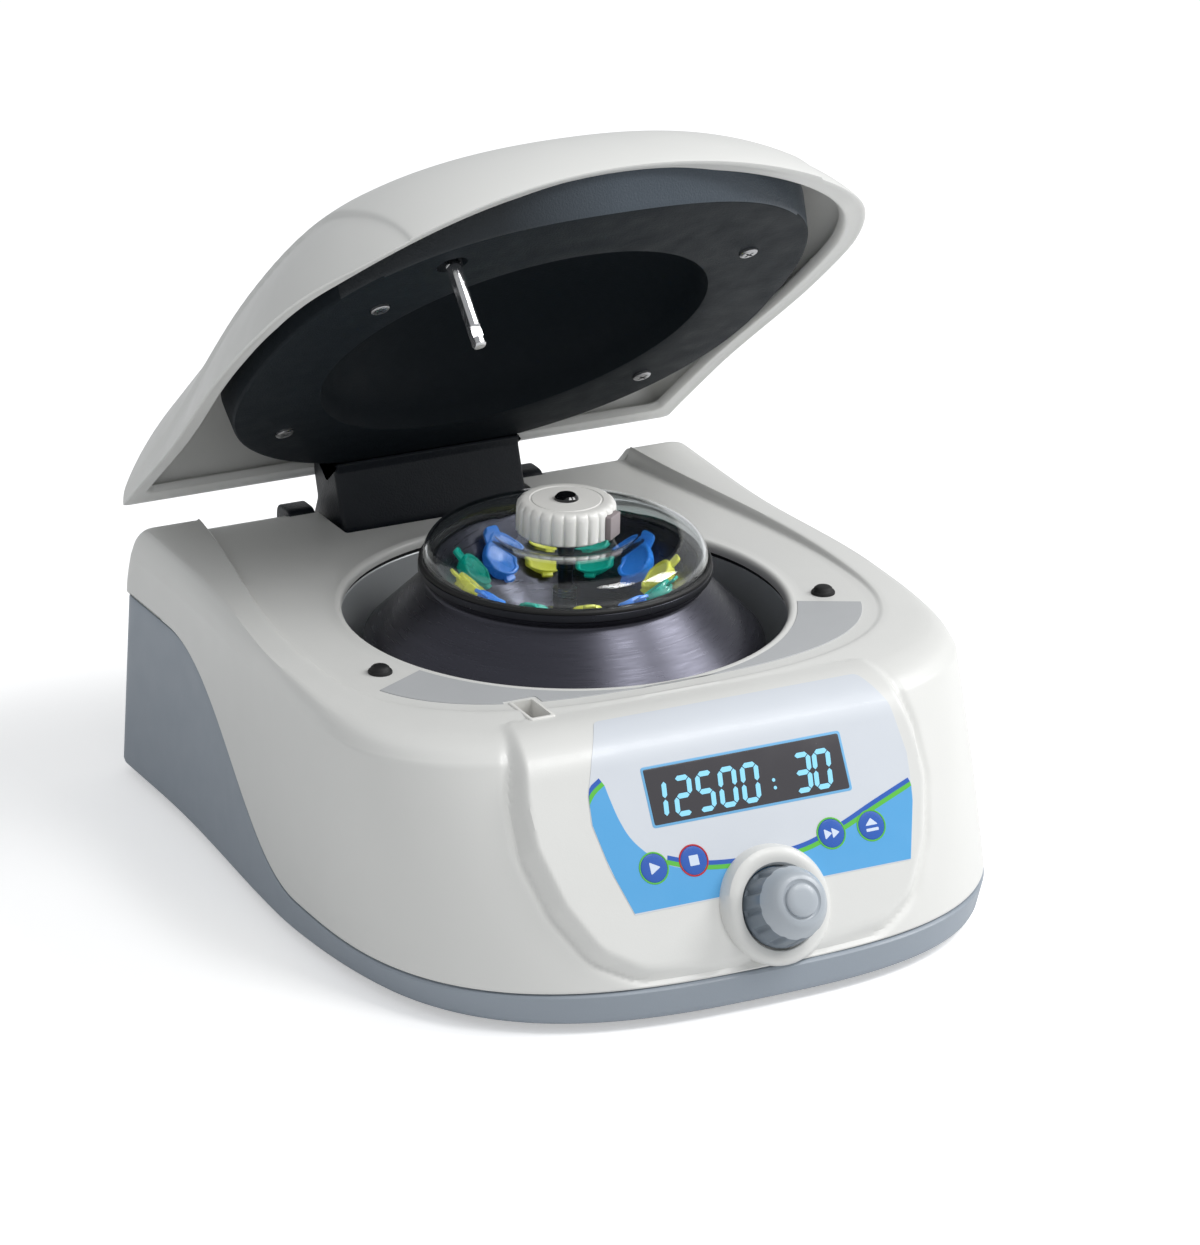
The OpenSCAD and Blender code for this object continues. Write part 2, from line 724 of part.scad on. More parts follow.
module lid_shell() {
    color([0.86, 0.86, 0.84]) open_lid() {
        difference() {
            lid_dome(0, 0);
            lid_dome(lid_wall, 1);
        }
        for (sx = [-1, 1], sy = [-1, 1]) intersection() {
            translate([sx * liner_screw_x, sy * liner_screw_y, liner_z + liner_t + 0.05]) difference() {
                cylinder(r = 5, h = 60);
                cylinder(r = 1.7, h = 14);
            }
            lid_dome(lid_wall / 2, 10);
        }
    }
}

module lid_liner() {
    color([0.1, 0.11, 0.12]) open_lid() difference() {
        union() {
            difference() {
                loft([
                    at_h(liner_plan(-1, liner_front - 1), liner_z),
                    at_h(liner_plan(0, liner_front), liner_z + 1),
                    at_h(liner_plan(2.5, liner_rim_front), liner_z + liner_rise)
                ]);
                loft([
                    at_h(liner_plan(-liner_t - 1, liner_front - liner_t - 1), liner_z + liner_t),
                    at_h(liner_plan(-0.2, liner_rim_front - liner_t), liner_z + liner_rise + 1)
                ]);
                translate([0, 0, liner_z - 5]) cylinder(r = dish_r, h = 30, $fn = 128);
            }
            translate([0, 0, liner_z]) rotate_extrude($fn = 128) polygon(concat(
                [for (a = [0:9:90]) [dish_r * cos(a), dish_depth * sin(a)]],
                [for (a = [90:-9:0]) [(dish_r + 2) * cos(a), (dish_depth + 2) * sin(a)]]
            ));
        }
        for (sx = [-1, 1], sy = [-1, 1])
            translate([sx * liner_screw_x, sy * liner_screw_y, liner_z - 2]) cylinder(r = 1.8, h = 10);
        translate([-latch_x, -latch_y, liner_z - 2]) cylinder(r = latch_pin_r + 3, h = 10);
    }
}

module liner_screws() {
    color([0.55, 0.55, 0.56]) open_lid() for (sx = [-1, 1], sy = [-1, 1])
        translate([sx * liner_screw_x, sy * liner_screw_y, liner_z - 1.2]) {
            cylinder(r = 3.2, h = 1.2);
            cylinder(r = 1.6, h = 14);
        }
}

module latch_pin() {
    color([0.8, 0.8, 0.82]) open_lid() {
        translate([-latch_x, -latch_y, latch_pin_low]) difference() {
            cylinder(r = latch_pin_r, h = latch_pin_top - latch_pin_low);
            block(0, -latch_pin_r - 0.4, slider_h - latch_pin_low - 0.6, [10, 3, slider_t + 1.2]);
        }
        translate([-latch_x, -latch_y, liner_z + liner_t + 0.2]) difference() {
            cylinder(r = latch_pin_r + 5.4, h = 3);
            cylinder(r = latch_pin_r, h = 10);
        }
    }
}

module lid_arm() {
    y = hinge_y;
    z = hinge_z;
    color([0.09, 0.1, 0.11]) open_lid() difference() {
        union() {
            translate([-arm_half_w, 0, 0]) rotate([90, 0, 90]) linear_extrude(height = 2 * arm_half_w)
                polygon([
                    [y - 29.5, liner_z - 1.4], [y - 27, liner_z - 3], [y - 19.2, z - 10], [y - 13, z - 12.5],
                    [y - 6, z - 8], [y, z - barrel_r], [y + 6, z], [y, z + 7], [y - 6.5, z + 10],
                    [y - 9.5, z + 17], [y - 14.5, z + 26], [y - 19.5, z + 26],
                    [y - 19.5, liner_z - 0.4], [y - 29.5, liner_z - 0.4]
                ]);
            translate([-arm_half_w, y, z]) rotate([0, 90, 0])
                cylinder(r = barrel_r, h = 2 * arm_half_w);
        }
        translate([-100, hinge_y, hinge_z]) rotate([0, 90, 0])
            cylinder(r = hinge_pin_r + running_gap, h = 200);
        translate([-spring_half_len - 1, hinge_y, hinge_z]) rotate([0, 90, 0])
            cylinder(r = spring_r + 0.8, h = 2 * spring_half_len + 2);
    }
}

// Rotor and its lid
module drive_shaft() {
    color([0.75, 0.76, 0.78]) difference() {
        union() {
            translate([0, 0, motor_low - 1]) cylinder(r = shaft_r, h = shaft_top - motor_low + 1);
            translate([0, 0, hub_low]) cylinder(r = hub_r, h = rotor_foot_h - hub_low);
        }
        translate([0, 0, shaft_top - 10]) cylinder(r = stud_r - 0.5 + running_gap, h = 20);
    }
}

module at_place(i) {
    rotate(i * 360 / tube_count + 15) translate([tube_mouth_r, 0, mouth_h]) rotate([0, 180 - tilt, 0])
        children();
}

module rotor() {
    color([0.12, 0.12, 0.14]) difference() {
        rotate_extrude($fn = 128) polygon([
            [shaft_r + running_gap, rotor_foot_h], [shaft_r + running_gap, rotor_well_h],
            [rotor_well_r, rotor_well_h], [rotor_well_r + rotor_top_h - rotor_well_h, rotor_top_h],
            [rotor_flange_r, rotor_top_h], [rotor_flange_r, rotor_top_h - flange_t],
            [rotor_flange_r - 3, rotor_top_h - flange_t - 3], [rotor_max_r, rotor_top_h - 27],
            [rotor_max_r, rotor_foot_h + 2], [rotor_max_r - 2, rotor_foot_h], [46, rotor_foot_h],
            [34, rotor_foot_h + 12], [22, rotor_foot_h + 12], [20, rotor_foot_h]
        ]);
        for (i = [0:tube_count - 1])
            at_place(i) translate([0, 0, -8]) cylinder(r = hole_r, h = tube_len + 9);
    }
}

module rotor_nut() {
    color([0.7, 0.71, 0.73]) translate([0, 0, rotor_well_h]) difference() {
        cylinder(r = 9, h = nut_h, $fn = 6);
        translate([0, 0, -1]) cylinder(r = shaft_r, h = 20);
    }
}

module tube() {
    translate([0, 0, -0.9 - tube_cap_t]) cylinder(r = tube_cap_r, h = tube_cap_t);
    translate([0, 0, -1]) cylinder(r = tube_r, h = tube_len - 16);
    translate([0, 0, tube_len - 17]) cylinder(r1 = tube_r, r2 = 2, h = 17);
}
module tube_set(first, paint) {
    color(paint) for (i = [first:3:tube_count - 1]) at_place(i) tube();
}
module tubes_blue() { tube_set(0, [0.25, 0.55, 0.85, 0.8]); }
module tubes_green() { tube_set(1, [0.1, 0.7, 0.6, 0.8]); }
module tubes_yellow() { tube_set(2, [0.8, 0.82, 0.3, 0.8]); }

module rotor_lid_seal() {
    color([0.05, 0.05, 0.06]) translate([0, 0, rotor_top_h]) difference() {
        cylinder(r = dome_foot_r + 0.6, h = dome_seat_h - rotor_top_h);
        translate([0, 0, -1]) cylinder(r = dome_foot_r - 3.4, h = 5);
    }
}

module rotor_lid() {
    r = dome_foot_r;
    z = dome_seat_h;
    color([0.8, 0.9, 0.95, 0.35]) rotate_extrude($fn = 128) polygon([
        [r, z], [r, z + 3.2], [r - 1.4, z + 6.7], [r - 4.4, z + 9.2], [r - 9.4, z + 11.2],
        [r - 15.4, z + 12.2], [r - 22.4, z + 11.6], [r - 28.4, z + 10.6], [r - 34, z + 10.2],
        [stud_r + running_gap, z + 10.2], [stud_r + running_gap, z + 10.2 - dome_t],
        [r - 34, z + 10.2 - dome_t], [r - 28.4, z + 10.6 - dome_t], [r - 22.4, z + 11.6 - dome_t],
        [r - 15.4, z + 12.2 - dome_t], [r - 9.8, z + 11.2 - dome_t], [r - 5.4, z + 9.2 - dome_t],
        [r - 3, z + 5.8], [r - dome_t, z + 3], [r - dome_t, z]
    ]);
}

module rotor_lid_knob() {
    stud_low = shaft_top - 9;
    color([0.93, 0.93, 0.92]) difference() {
        union() {
            translate([0, 0, knob_foot]) cylinder(r = rotor_knob_r, h = rotor_knob_top - knob_foot - 1.5);
            translate([0, 0, rotor_knob_top - 1.5])
                cylinder(r1 = rotor_knob_r, r2 = rotor_knob_r - 1.5, h = 1.5);
            translate([0, 0, dome_seat_h - 2]) cylinder(r = stud_r, h = knob_foot - dome_seat_h + 3);
            translate([0, 0, stud_low]) cylinder(r = stud_r - 0.5, h = dome_seat_h - stud_low - 1);
        }
        for (a = [0:15:345]) rotate(a) translate([rotor_knob_r + 1.1, 0, knob_foot - 1])
            cylinder(r = 1.8, h = 20, $fn = 24);
        rotate(tab_angle) translate([rotor_knob_r - 3.2, -4.2, knob_foot - 1]) cube([8, 8.4, 10.2]);
    }
}

module lock_tab() {
    color([0.62, 0.58, 0.6]) rotate(tab_angle) translate([rotor_knob_r - 1.6, -3.9, knob_foot + 0.5])
        cube([3, 7.8, 8.2]);
}

module knob_cap() {
    color([0.04, 0.04, 0.05]) translate([0, 0, rotor_knob_top]) rotate_extrude()
        polygon([[0, 0], [3.6, 0], [3.5, 0.8], [2.6, 1.6], [1.3, 2], [0, 2.1]]);
}

lower_housing();
upper_housing();
housing_screws();
feet();
bowl();
bowl_gasket();
motor();
motor_plate();
motor_mounts();
plate_screws();
drive_board();
power_supply();
power_inlet();
rocker_switch();
rocker_key();
fascia();
display_window();
display_board();
start_button();
stop_button();
pulse_button();
release_button();
dial_collar();
dial_encoder();
control_dial();
deck_label();
deck_bumpers();
latch_frame();
latch_body();
latch_slider();
hinge_brackets();
hinge_pin();
hinge_springs();
lid_shell();
lid_liner();
lid_arm();
liner_screws();
latch_pin();
drive_shaft();
rotor();
rotor_nut();
tubes_blue();
tubes_green();
tubes_yellow();
rotor_lid();
rotor_lid_seal();
rotor_lid_knob();
knob_cap();
lock_tab();
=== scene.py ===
import math
from bisect import bisect_left

import bmesh
import bpy
from mathutils import Matrix, Vector

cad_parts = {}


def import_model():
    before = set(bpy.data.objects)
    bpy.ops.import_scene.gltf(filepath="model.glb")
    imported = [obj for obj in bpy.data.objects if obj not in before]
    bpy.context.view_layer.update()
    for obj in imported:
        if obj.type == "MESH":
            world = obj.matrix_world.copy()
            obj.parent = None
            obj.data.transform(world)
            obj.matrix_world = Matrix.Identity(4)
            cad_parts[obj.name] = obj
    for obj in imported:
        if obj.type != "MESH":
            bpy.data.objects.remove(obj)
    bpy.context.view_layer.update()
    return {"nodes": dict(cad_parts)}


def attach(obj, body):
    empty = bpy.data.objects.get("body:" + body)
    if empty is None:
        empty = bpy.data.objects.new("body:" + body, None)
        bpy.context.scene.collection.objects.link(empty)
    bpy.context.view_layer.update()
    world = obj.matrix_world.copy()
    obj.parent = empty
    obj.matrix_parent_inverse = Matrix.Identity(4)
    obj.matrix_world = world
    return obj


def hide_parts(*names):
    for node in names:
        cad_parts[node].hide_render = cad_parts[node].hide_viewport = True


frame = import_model()

MM = 0.001
PLAIN = Matrix.Identity(4)

# Camera, fitted to the photograph, in metres
CAMERA_AZIMUTH = math.radians(-27.86)
CAMERA_ELEVATION = math.radians(21.92)
CAMERA_ROLL = math.radians(1.03)
CAMERA_DISTANCE = 2.282
CAMERA_LENS = 194.98
CAMERA_OFFSET = (-0.01171, 0.02078)
AIM = Vector((0.0, 0.0, 0.104))

# Housing, in millimetres, as in the construction
HOUSING_HALF_W = 117.5
HOUSING_BACK_HALF_W = 111.0
HOUSING_FRONT = 152.0
HOUSING_BACK = 126.0
FOOT_H = 3.0
DECK_H = 89.0
WALL = 3.0
BEND_H = 82.0
BEND_FRONT = 108.0
FRONT_RAKE = (HOUSING_FRONT - BEND_FRONT) / (BEND_H - FOOT_H)
FRONT_SWELL = 3.0
SIDE_DRAFT = 2.5
BACK_DRAFT = 2.2
BODY_POWER = 2.8
BODY_POWER_GAIN = 0.3
BODY_BLEND = 130.0
BODY_CORNER = 7.0
FRONT_TUCK = (-20.0, -90.0)
BACK_TUCK = 6.0
BACK_TUCK_H = 30.0
WIDEST_Y = -40.0
SEAM_FRONT_H = 14.0
SEAM_BACK_H = 67.5
SEAM_START_Y = -34.0
SEAM_LENGTH = 119.0
SEAM_GAP = 0.25
CREST_FRONT_H = 88.6
CREST_BACK_H = 92.8
CREST_RISE_Y = -50.0
CREST_BACK = 114.0
CREST_Y = -15.0
CREST_BLEND = 85.0
CREST_CORNER = 4.0
POCKET_HALF_W = 101.3
POCKET_BACK_HALF_W = 82.0
POCKET_WIDE_Y = -10.0
POCKET_FRONT = 74.0
POCKET_END_X = 83.8
POCKET_BLEND = 150.0
POCKET_POWER = 2.8
BOWL_R = 75.7
BOWL_WALL = 1.5
MOUTH_LIP = 3.4
LABEL_R = 79.0
LABEL_LEFT = -154.6
LABEL_RIGHT = -24.6
BUMPER_X = 83.8
BUMPER_Y = -29.7
EAR_X = 44.8
EAR_HALF_W = 5
ARM_NOTCH_W = 78.6
EAR_NOTCH_W = 100.6
BACK_HOLES = {"inlet": (-72, 28), "switch": (-24, 20)}
VENT_COUNT = 9
VENT_X = 44.0
VENT_STEP = 6.0

# Plans of the crest and the lid: half width, front, back, half width at the back, roundness
CREST_PLAN = (112.3, 90.0, CREST_BACK, 104.6, 3.3)
LID_PLAN = (114.3, 113.0, 114.6, 108.7, 3.0)

# Lid, drawn closed
LID_OPEN = math.radians(42.6)
HINGE = Vector((0.0, 119.0, 80.0))
LID_POWER = 0.58
LID_LIFT = 1.7
LID_TOP = 142.5
LID_WALL = 3.0
LID_CROWN_Y = 12.0
SCALLOP_DEPTH = 1.4
SCALLOP_EDGE = 2.6
SCALLOP_LOWERED = 0.6
SCALLOP_LOWERED_FROM = 100.0
SCALLOP_LOWERED_OVER = 20.0
LINER_Z = 92.3
LINER_HALF_W = 98.5
LINER_BACK = 95.0
LINER_FRONT = 103.0
LINER_RIM_FRONT = 109.0
LINER_RISE = 12.0
LINER_STEPS = 60
# Span along X over which the liner band's painted highlight goes over to painted shade, dark at the left
BAND_SHADE_SPAN = (-42 * MM, 2 * MM)
RIM_SIDE_H = 91.5
RIM_SLOPE = 0.0446
RIM_LOW_Y = -47.0
RIM_ARCH = 12.4
RIM_ARCH_HALF_W = 95.0
DISH_R = 68.0
DISH_DEPTH = 41.0
LINER_SCREW_X = 69.0
LINER_SCREW_Y = 50.5
LINER_SCREW_R = 3.2
LATCH_X = -53.0
LATCH_Y = -79.7
ARM_HALF_W = 36.0

# Front panel: a point on its plane, its slope and the rounding that joins it to the deck
PANEL_POINT = Vector((0.0, -121.4, 59.7))
PANEL_SLOPE = math.radians(59.6)
PANEL_BEND_S = 20.3
PANEL_BEND_R = 23.9
PANEL_X = 7.2
PATCH_STEP = 1.5
FILM_MARGIN = 0.15
STRIPE_W = 1.5
DISPLAY_W = 72.6
DISPLAY_H = 18.6
DISPLAY_BORDER = 0.8
FIGURE_W = 5.1
FIGURE_H = 11.6
FIGURE_LOW = 2.2
FIGURE_LAYER = (0.25, 0.42)
BAR_W = 1.7
BAR_GAP = 0.22
BAR_SLANT = 0.12
DIAL_S = -34.0
DIAL_GROOVES = 12
# Height on the knob above which its faces take the lighter grey, a painted highlight
DIAL_LIT_TOP_Z = 13.4
COLLAR_IN = 14.0
COLLAR_SPREAD = 6.0
COLLAR_SHIFT = 1.5
COLLAR_LOW = 2.2
COLLAR_HIGH = 5.4
BUTTON_S = -13.4
SIGN_LAYER = (0.44, 0.54)

# Rotor
TUBE_COUNT = 12
TUBE_STEP = 360 / TUBE_COUNT
TUBE_TILT = math.radians(135)
MOUTH_R = 34.25
MOUTH_H = 94.25
FLANGE_LOW = 100.6
FLANGE_IN = 44.0
DOME_R = 48.4
DOME_FOOT = 104.8
DOME_WALL = 1.5
STUD_R = 3.1
KNOB_TOP = 126.6
KNOB_FOOT = KNOB_TOP - 11.3
KNOB_R = 17.0
KNOB_FLUTES = 24
TAB_ANGLE = math.radians(-52)

# How finely the housing and the lid are divided
FRONT_STEPS = 190
TYPICAL_FRONT = (117, 95, 2.9)
SIDE_STEPS = 44
CORNER_STEPS = 8
SHOULDER_STEPS = 10
BACK_STEPS = 22
BODY_SECTIONS = 12
BODY_RINGS = 64
BASE_RINGS = 16


def mix(a, b, t):
    return a + (b - a) * t


def mixed(p, q, t):
    """Point part of the way from one to another."""
    return tuple(mix(a, b, t) for a, b in zip(p, q))


def clamp(v, low=0.0, high=1.0):
    return min(high, max(low, v))


def ease(t):
    return (1 - math.cos(math.pi * clamp(t))) / 2


def smooth(low, high, v):
    t = clamp((v - low) / (high - low))
    return t * t * (3 - 2 * t)


def oval(a, w, depth, power):
    """Point of a superellipse, at an angle from its front."""
    return (w * math.sin(a) ** (2 / power), depth * max(0.0, math.cos(a)) ** (2 / power))


# Outlines: half of each runs from the middle of the front round to the middle of the back
def quadrant_angles(count):
    """Angles that space a superellipse's points evenly along its length."""
    fine_count = 4000
    fine = [math.pi / 2 * i / fine_count for i in range(fine_count + 1)]
    points = [oval(a, *TYPICAL_FRONT) for a in fine]
    lengths = [0.0]
    for p, q in zip(points, points[1:]):
        lengths.append(lengths[-1] + math.dist(p, q))
    goals = [lengths[-1] * i / count for i in range(count + 1)]
    return [fine[min(fine_count, bisect_left(lengths, goal))] for goal in goals]


FRONT_ANGLES = quadrant_angles(FRONT_STEPS)
SHOULDER_END = len(FRONT_ANGLES) + SIDE_STEPS + CORNER_STEPS + SHOULDER_STEPS


def half_outline(w, front, back, back_w, power, wide_y, blend, corner):
    points = []
    for a in FRONT_ANGLES:
        x, depth = oval(a, w, front + wide_y, power)
        points.append((x, wide_y - depth))
    side_end = back - corner
    for i in range(1, SIDE_STEPS + 1):
        y = mix(wide_y, side_end, i / SIDE_STEPS)
        points.append((mix(w, back_w, ease((y - wide_y) / blend)), y))
    for i in range(1, CORNER_STEPS + 1):
        a = math.pi / 2 * i / CORNER_STEPS
        points.append((back_w - corner + corner * math.cos(a), side_end + corner * math.sin(a)))
    for i in range(1, SHOULDER_STEPS + 1):
        points.append((mix(back_w - corner, POCKET_END_X + 1.4, i / SHOULDER_STEPS), back))
    for i in range(BACK_STEPS):
        points.append((mix(POCKET_END_X - 1.4, 0.0, i / (BACK_STEPS - 1)), back))
    return points


def body_half(z, inset=0.0):
    t = (z - FOOT_H) / (BEND_H - FOOT_H)
    back_in = BACK_TUCK * ease((z - SEAM_BACK_H) / BACK_TUCK_H)
    front = HOUSING_FRONT - FRONT_RAKE * (z - FOOT_H) + FRONT_SWELL * math.sin(math.pi * clamp(t))
    return half_outline(
        HOUSING_HALF_W - SIDE_DRAFT * t - inset, front - inset * 1.15, HOUSING_BACK - back_in - inset,
        HOUSING_BACK_HALF_W - BACK_DRAFT * t - inset, BODY_POWER + BODY_POWER_GAIN * t, WIDEST_Y,
        BODY_BLEND, BODY_CORNER)


def plan_half(plan, inset=0.0):
    """Outline of the crest or the lid."""
    *sizes, power = plan
    return half_outline(*[size - inset for size in sizes], power, CREST_Y, CREST_BLEND, CREST_CORNER)


def pocket_half(inset, back):
    """Outline of the deck between the shoulders; it runs out through the back."""
    points = []
    for a in FRONT_ANGLES:
        x, depth = oval(a, POCKET_HALF_W - inset, POCKET_FRONT - inset, POCKET_POWER)
        points.append((x, POCKET_WIDE_Y - depth))
    steps = SHOULDER_END - len(FRONT_ANGLES)
    for i in range(1, steps + 1):
        y = mix(POCKET_WIDE_Y, back, i / steps)
        share = ease((y - POCKET_WIDE_Y) / POCKET_BLEND)
        points.append((mix(POCKET_HALF_W, POCKET_BACK_HALF_W, share) - inset, y))
    end_x = points[-1][0]
    for i in range(BACK_STEPS):
        points.append((mix(end_x - 0.4, 0.0, i / (BACK_STEPS - 1)), back))
    return points


def circle_half(r, like):
    """Circle whose points lie in the directions of another outline's points."""
    points = []
    for x, y in like:
        length = math.hypot(x, y)
        points.append((r * x / length, r * y / length))
    return points


def mirror(half):
    """Whole ring from its half; the first and last points lie on the middle plane."""
    return half + [(-p[0],) + tuple(p[1:]) for p in reversed(half[1:-1])]


def seam_height(y):
    return mix(SEAM_FRONT_H, SEAM_BACK_H, ease((y - SEAM_START_Y) / SEAM_LENGTH))


def crest_height(y):
    return mix(CREST_FRONT_H, CREST_BACK_H, clamp((y - CREST_RISE_Y) / (CREST_BACK - CREST_RISE_Y)))


def rim_height(x, y):
    arch = RIM_ARCH * max(0.0, 1 - (x / RIM_ARCH_HALF_W) ** 2) ** 1.5 if y < CREST_Y else 0.0
    return RIM_SIDE_H + RIM_SLOPE * max(0.0, y - RIM_LOW_Y) + arch


def at_height(half, z):
    return [(x, y, z) for x, y in half]


def between(low, high, t):
    return [mixed(p, q, t) for p, q in zip(low, high)]


def spline(rings, steps):
    """Rings through the given ones on a smooth curve; steps gives how many lie between each two."""
    out = []
    last = len(rings) - 1
    for k in range(last):
        four = rings[max(0, k - 1)], rings[k], rings[k + 1], rings[min(last, k + 2)]
        for j in range(steps[k]):
            out.append([curve_point(*points, j / steps[k]) for points in zip(*four)])
    out.append(rings[last])
    return out


def curve_point(a, b, c, d, t):
    """Centripetal Catmull-Rom point between b and c."""
    a, b, c, d = Vector(a), Vector(b), Vector(c), Vector(d)
    k1, k2, k3 = [max(1e-4, (end - start).length ** 0.5) for start, end in ((a, b), (b, c), (c, d))]
    if k1 < 1e-3:
        a, k1 = b + (b - c), k2
    if k3 < 1e-3:
        d, k3 = c + (c - b), k2
    u = k2 * t
    p = a.lerp(b, (u + k1) / k1)
    q = b.lerp(c, u / k2)
    r = c.lerp(d, (u - k2) / k3)
    s = p.lerp(q, (u + k1) / (k1 + k2))
    v = q.lerp(r, u / (k2 + k3))
    return tuple(s.lerp(v, u / k2))


def smooth_line(points, steps=6):
    """Points on a smooth curve through the given ones."""
    rings = spline([[(x, y, 0.0)] for x, y in points], [steps] * (len(points) - 1))
    return [(ring[0][0], ring[0][1]) for ring in rings]


def offset_line(points, distance):
    """Open line moved sideways, to its left for a positive distance."""
    out = []
    for i, (x, y) in enumerate(points):
        before, after = points[max(0, i - 1)], points[min(len(points) - 1, i + 1)]
        along = Vector((after[0] - before[0], after[1] - before[1])).normalized()
        out.append((x - along.y * distance, y + along.x * distance))
    return out


def rounded(points, radii, steps=5):
    """Closed outline with its corners rounded. radii is one radius or one for each corner."""
    count = len(points)
    if not isinstance(radii, (list, tuple)):
        radii = [radii] * count
    out = []
    for i, (x, y) in enumerate(points):
        here = Vector((x, y))
        back, ahead = Vector(points[i - 1]) - here, Vector(points[(i + 1) % count]) - here
        if radii[i] <= 0 or back.length < 1e-6 or ahead.length < 1e-6:
            out.append((x, y))
            continue
        angle = back.angle(ahead)
        reach = min(radii[i] / max(1e-6, math.tan(angle / 2)), 0.48 * back.length, 0.48 * ahead.length)
        start = here + back.normalized() * reach
        end = here + ahead.normalized() * reach
        for k in range(steps + 1):
            t = k / steps
            p = start.lerp(here, t).lerp(here.lerp(end, t), t)
            out.append((p.x, p.y))
    return out


def inset_outline(points, distance):
    """Outline moved inwards by distance, corner by corner."""
    area = sum(p[0] * q[1] - q[0] * p[1] for p, q in zip(points, points[1:] + points[:1]))
    side = 1 if area > 0 else -1
    out = []
    for i, (x, y) in enumerate(points):
        before, after = points[i - 1], points[(i + 1) % len(points)]
        a = Vector((x - before[0], y - before[1]))
        b = Vector((after[0] - x, after[1] - y))
        a = a.normalized() if a.length > 1e-9 else b.normalized()
        b = b.normalized() if b.length > 1e-9 else a
        normal = Vector((-a.y - b.y, a.x + b.x)) * side
        normal = normal.normalized() if normal.length > 1e-9 else Vector((-a.y, a.x)) * side
        stretch = 1 / max(0.5, normal.dot(Vector((-a.y, a.x)) * side))
        out.append((x + normal.x * distance * stretch, y + normal.y * distance * stretch))
    return out


def disc(r, segments, x=0.0, y=0.0):
    step = 2 * math.pi / segments
    return [(x + r * math.cos(step * i), y + r * math.sin(step * i)) for i in range(segments)]


def rectangle(w, h, x=0.0, y=0.0):
    return [(x - w / 2, y - h / 2), (x + w / 2, y - h / 2), (x + w / 2, y + h / 2), (x - w / 2, y + h / 2)]


# Meshes
def soften(mesh, sharp=35.0):
    """Shades a mesh smooth, with hard edges above an angle in degrees."""
    for polygon in mesh.polygons:
        polygon.use_smooth = True
    mesh.set_sharp_from_angle(angle=math.radians(sharp))


def finish_mesh(name, mesh, sharp=35.0):
    soften(mesh, sharp)
    piece = bpy.data.objects.new(name, mesh)
    bpy.context.scene.collection.objects.link(piece)
    return piece


def ring_faces(ring_count, around, closed):
    faces = []
    for j in range(ring_count if closed else ring_count - 1):
        low, high = j * around, ((j + 1) % ring_count) * around
        for i in range(around):
            k = (i + 1) % around
            faces.append((low + i, low + k, high + k, high + i))
    return faces


def loft(name, rings, closed=False, caps="fan", place=PLAIN, sharp=35.0):
    """Piece through rings of equal length. A closed loft joins its last ring to its first."""
    around = len(rings[0])
    points = [p for ring in rings for p in ring]
    faces = ring_faces(len(rings), around, closed)
    ends = [] if closed else [(rings[0], 0), (rings[-1], (len(rings) - 1) * around)]
    for ring, first in ends:
        if caps == "flat":
            faces.append(tuple(range(first, first + around)))
        elif caps == "fan":
            middle = len(points)
            points.append(tuple(sum(p[a] for p in ring) / around for a in range(3)))
            faces += [(middle, first + i, first + (i + 1) % around) for i in range(around)]
    mesh = bpy.data.meshes.new(name)
    mesh.from_pydata([MM * (place @ Vector(p)) for p in points], [], faces)
    work = bmesh.new()
    work.from_mesh(mesh)
    bmesh.ops.remove_doubles(work, verts=work.verts, dist=1e-7)
    bmesh.ops.recalc_face_normals(work, faces=work.faces)
    work.to_mesh(mesh)
    work.free()
    return finish_mesh(name, mesh, sharp)


def half_loft(name, halves, **options):
    """Loft through rings given by their right halves."""
    return loft(name, [mirror(half) for half in halves], sharp=38, **options)


def turned(profile, segments, shape):
    """Rings round the Z axis; shape places a point from a profile's values and its angle."""
    return [[shape(*values, 2 * math.pi * i / segments) for i in range(segments)] for values in profile]


def on_circle(r, z, a):
    return (r * math.cos(a), r * math.sin(a), z)


def lathe(name, profile, segments=96, place=PLAIN):
    """Closed profile of (radius, height) turned round the Z axis."""
    return loft(name, turned(profile, segments, on_circle), closed=True, place=place)


def prism(name, outline, low, high, place=PLAIN, edge=0.4, steps=3, foot=0.0):
    """Plate from low to high with rounded edges: edge is the radius on top, foot the one below."""
    rings = []
    for radius, z, turn in ((foot, low, 1), (edge, high, -1)):
        part = []
        count = steps if radius > 0 else 0
        for k in range(count + 1):
            a = math.pi / 2 * k / max(1, count)
            inward = radius * (1 - math.sin(a))
            lift = radius * (1 - math.cos(a))
            part.append([(x, y, z + turn * lift) for x, y in inset_outline(outline, inward)])
        rings += part[::turn]
    return loft(name, rings, caps="flat", place=place)


def cut(piece, cutter):
    """Takes the cutter out of the piece and removes the cutter."""
    boolean = piece.modifiers.new("cut", "BOOLEAN")
    boolean.object = cutter
    boolean.operation = "DIFFERENCE"
    boolean.solver = "EXACT"
    bpy.context.view_layer.update()
    graph = bpy.context.evaluated_depsgraph_get()
    mesh = bpy.data.meshes.new_from_object(piece.evaluated_get(graph))
    piece.modifiers.remove(boolean)
    old = piece.data
    piece.data = mesh
    bpy.data.meshes.remove(old)
    bpy.data.objects.remove(cutter)
    soften(mesh)
    return piece


def join(name, pieces):
    """One mesh from several."""
    work = bmesh.new()
    for piece in pieces:
        work.from_mesh(piece.data)
        bpy.data.objects.remove(piece)
    mesh = bpy.data.meshes.new(name)
    work.to_mesh(mesh)
    work.free()
    return finish_mesh(name, mesh)


# Materials
PATCH_SCALE = 14.0
WEAR_SCALE = 98.0
BUMP_DEPTH = 0.6 * MM
DOME_CLEARNESS = 0.92


def srgb(r, g, b):
    def linear(v):
        v /= 255
        return v / 12.92 if v <= 0.04045 else ((v + 0.055) / 1.055) ** 2.4
    return (linear(r), linear(g), linear(b), 1.0)


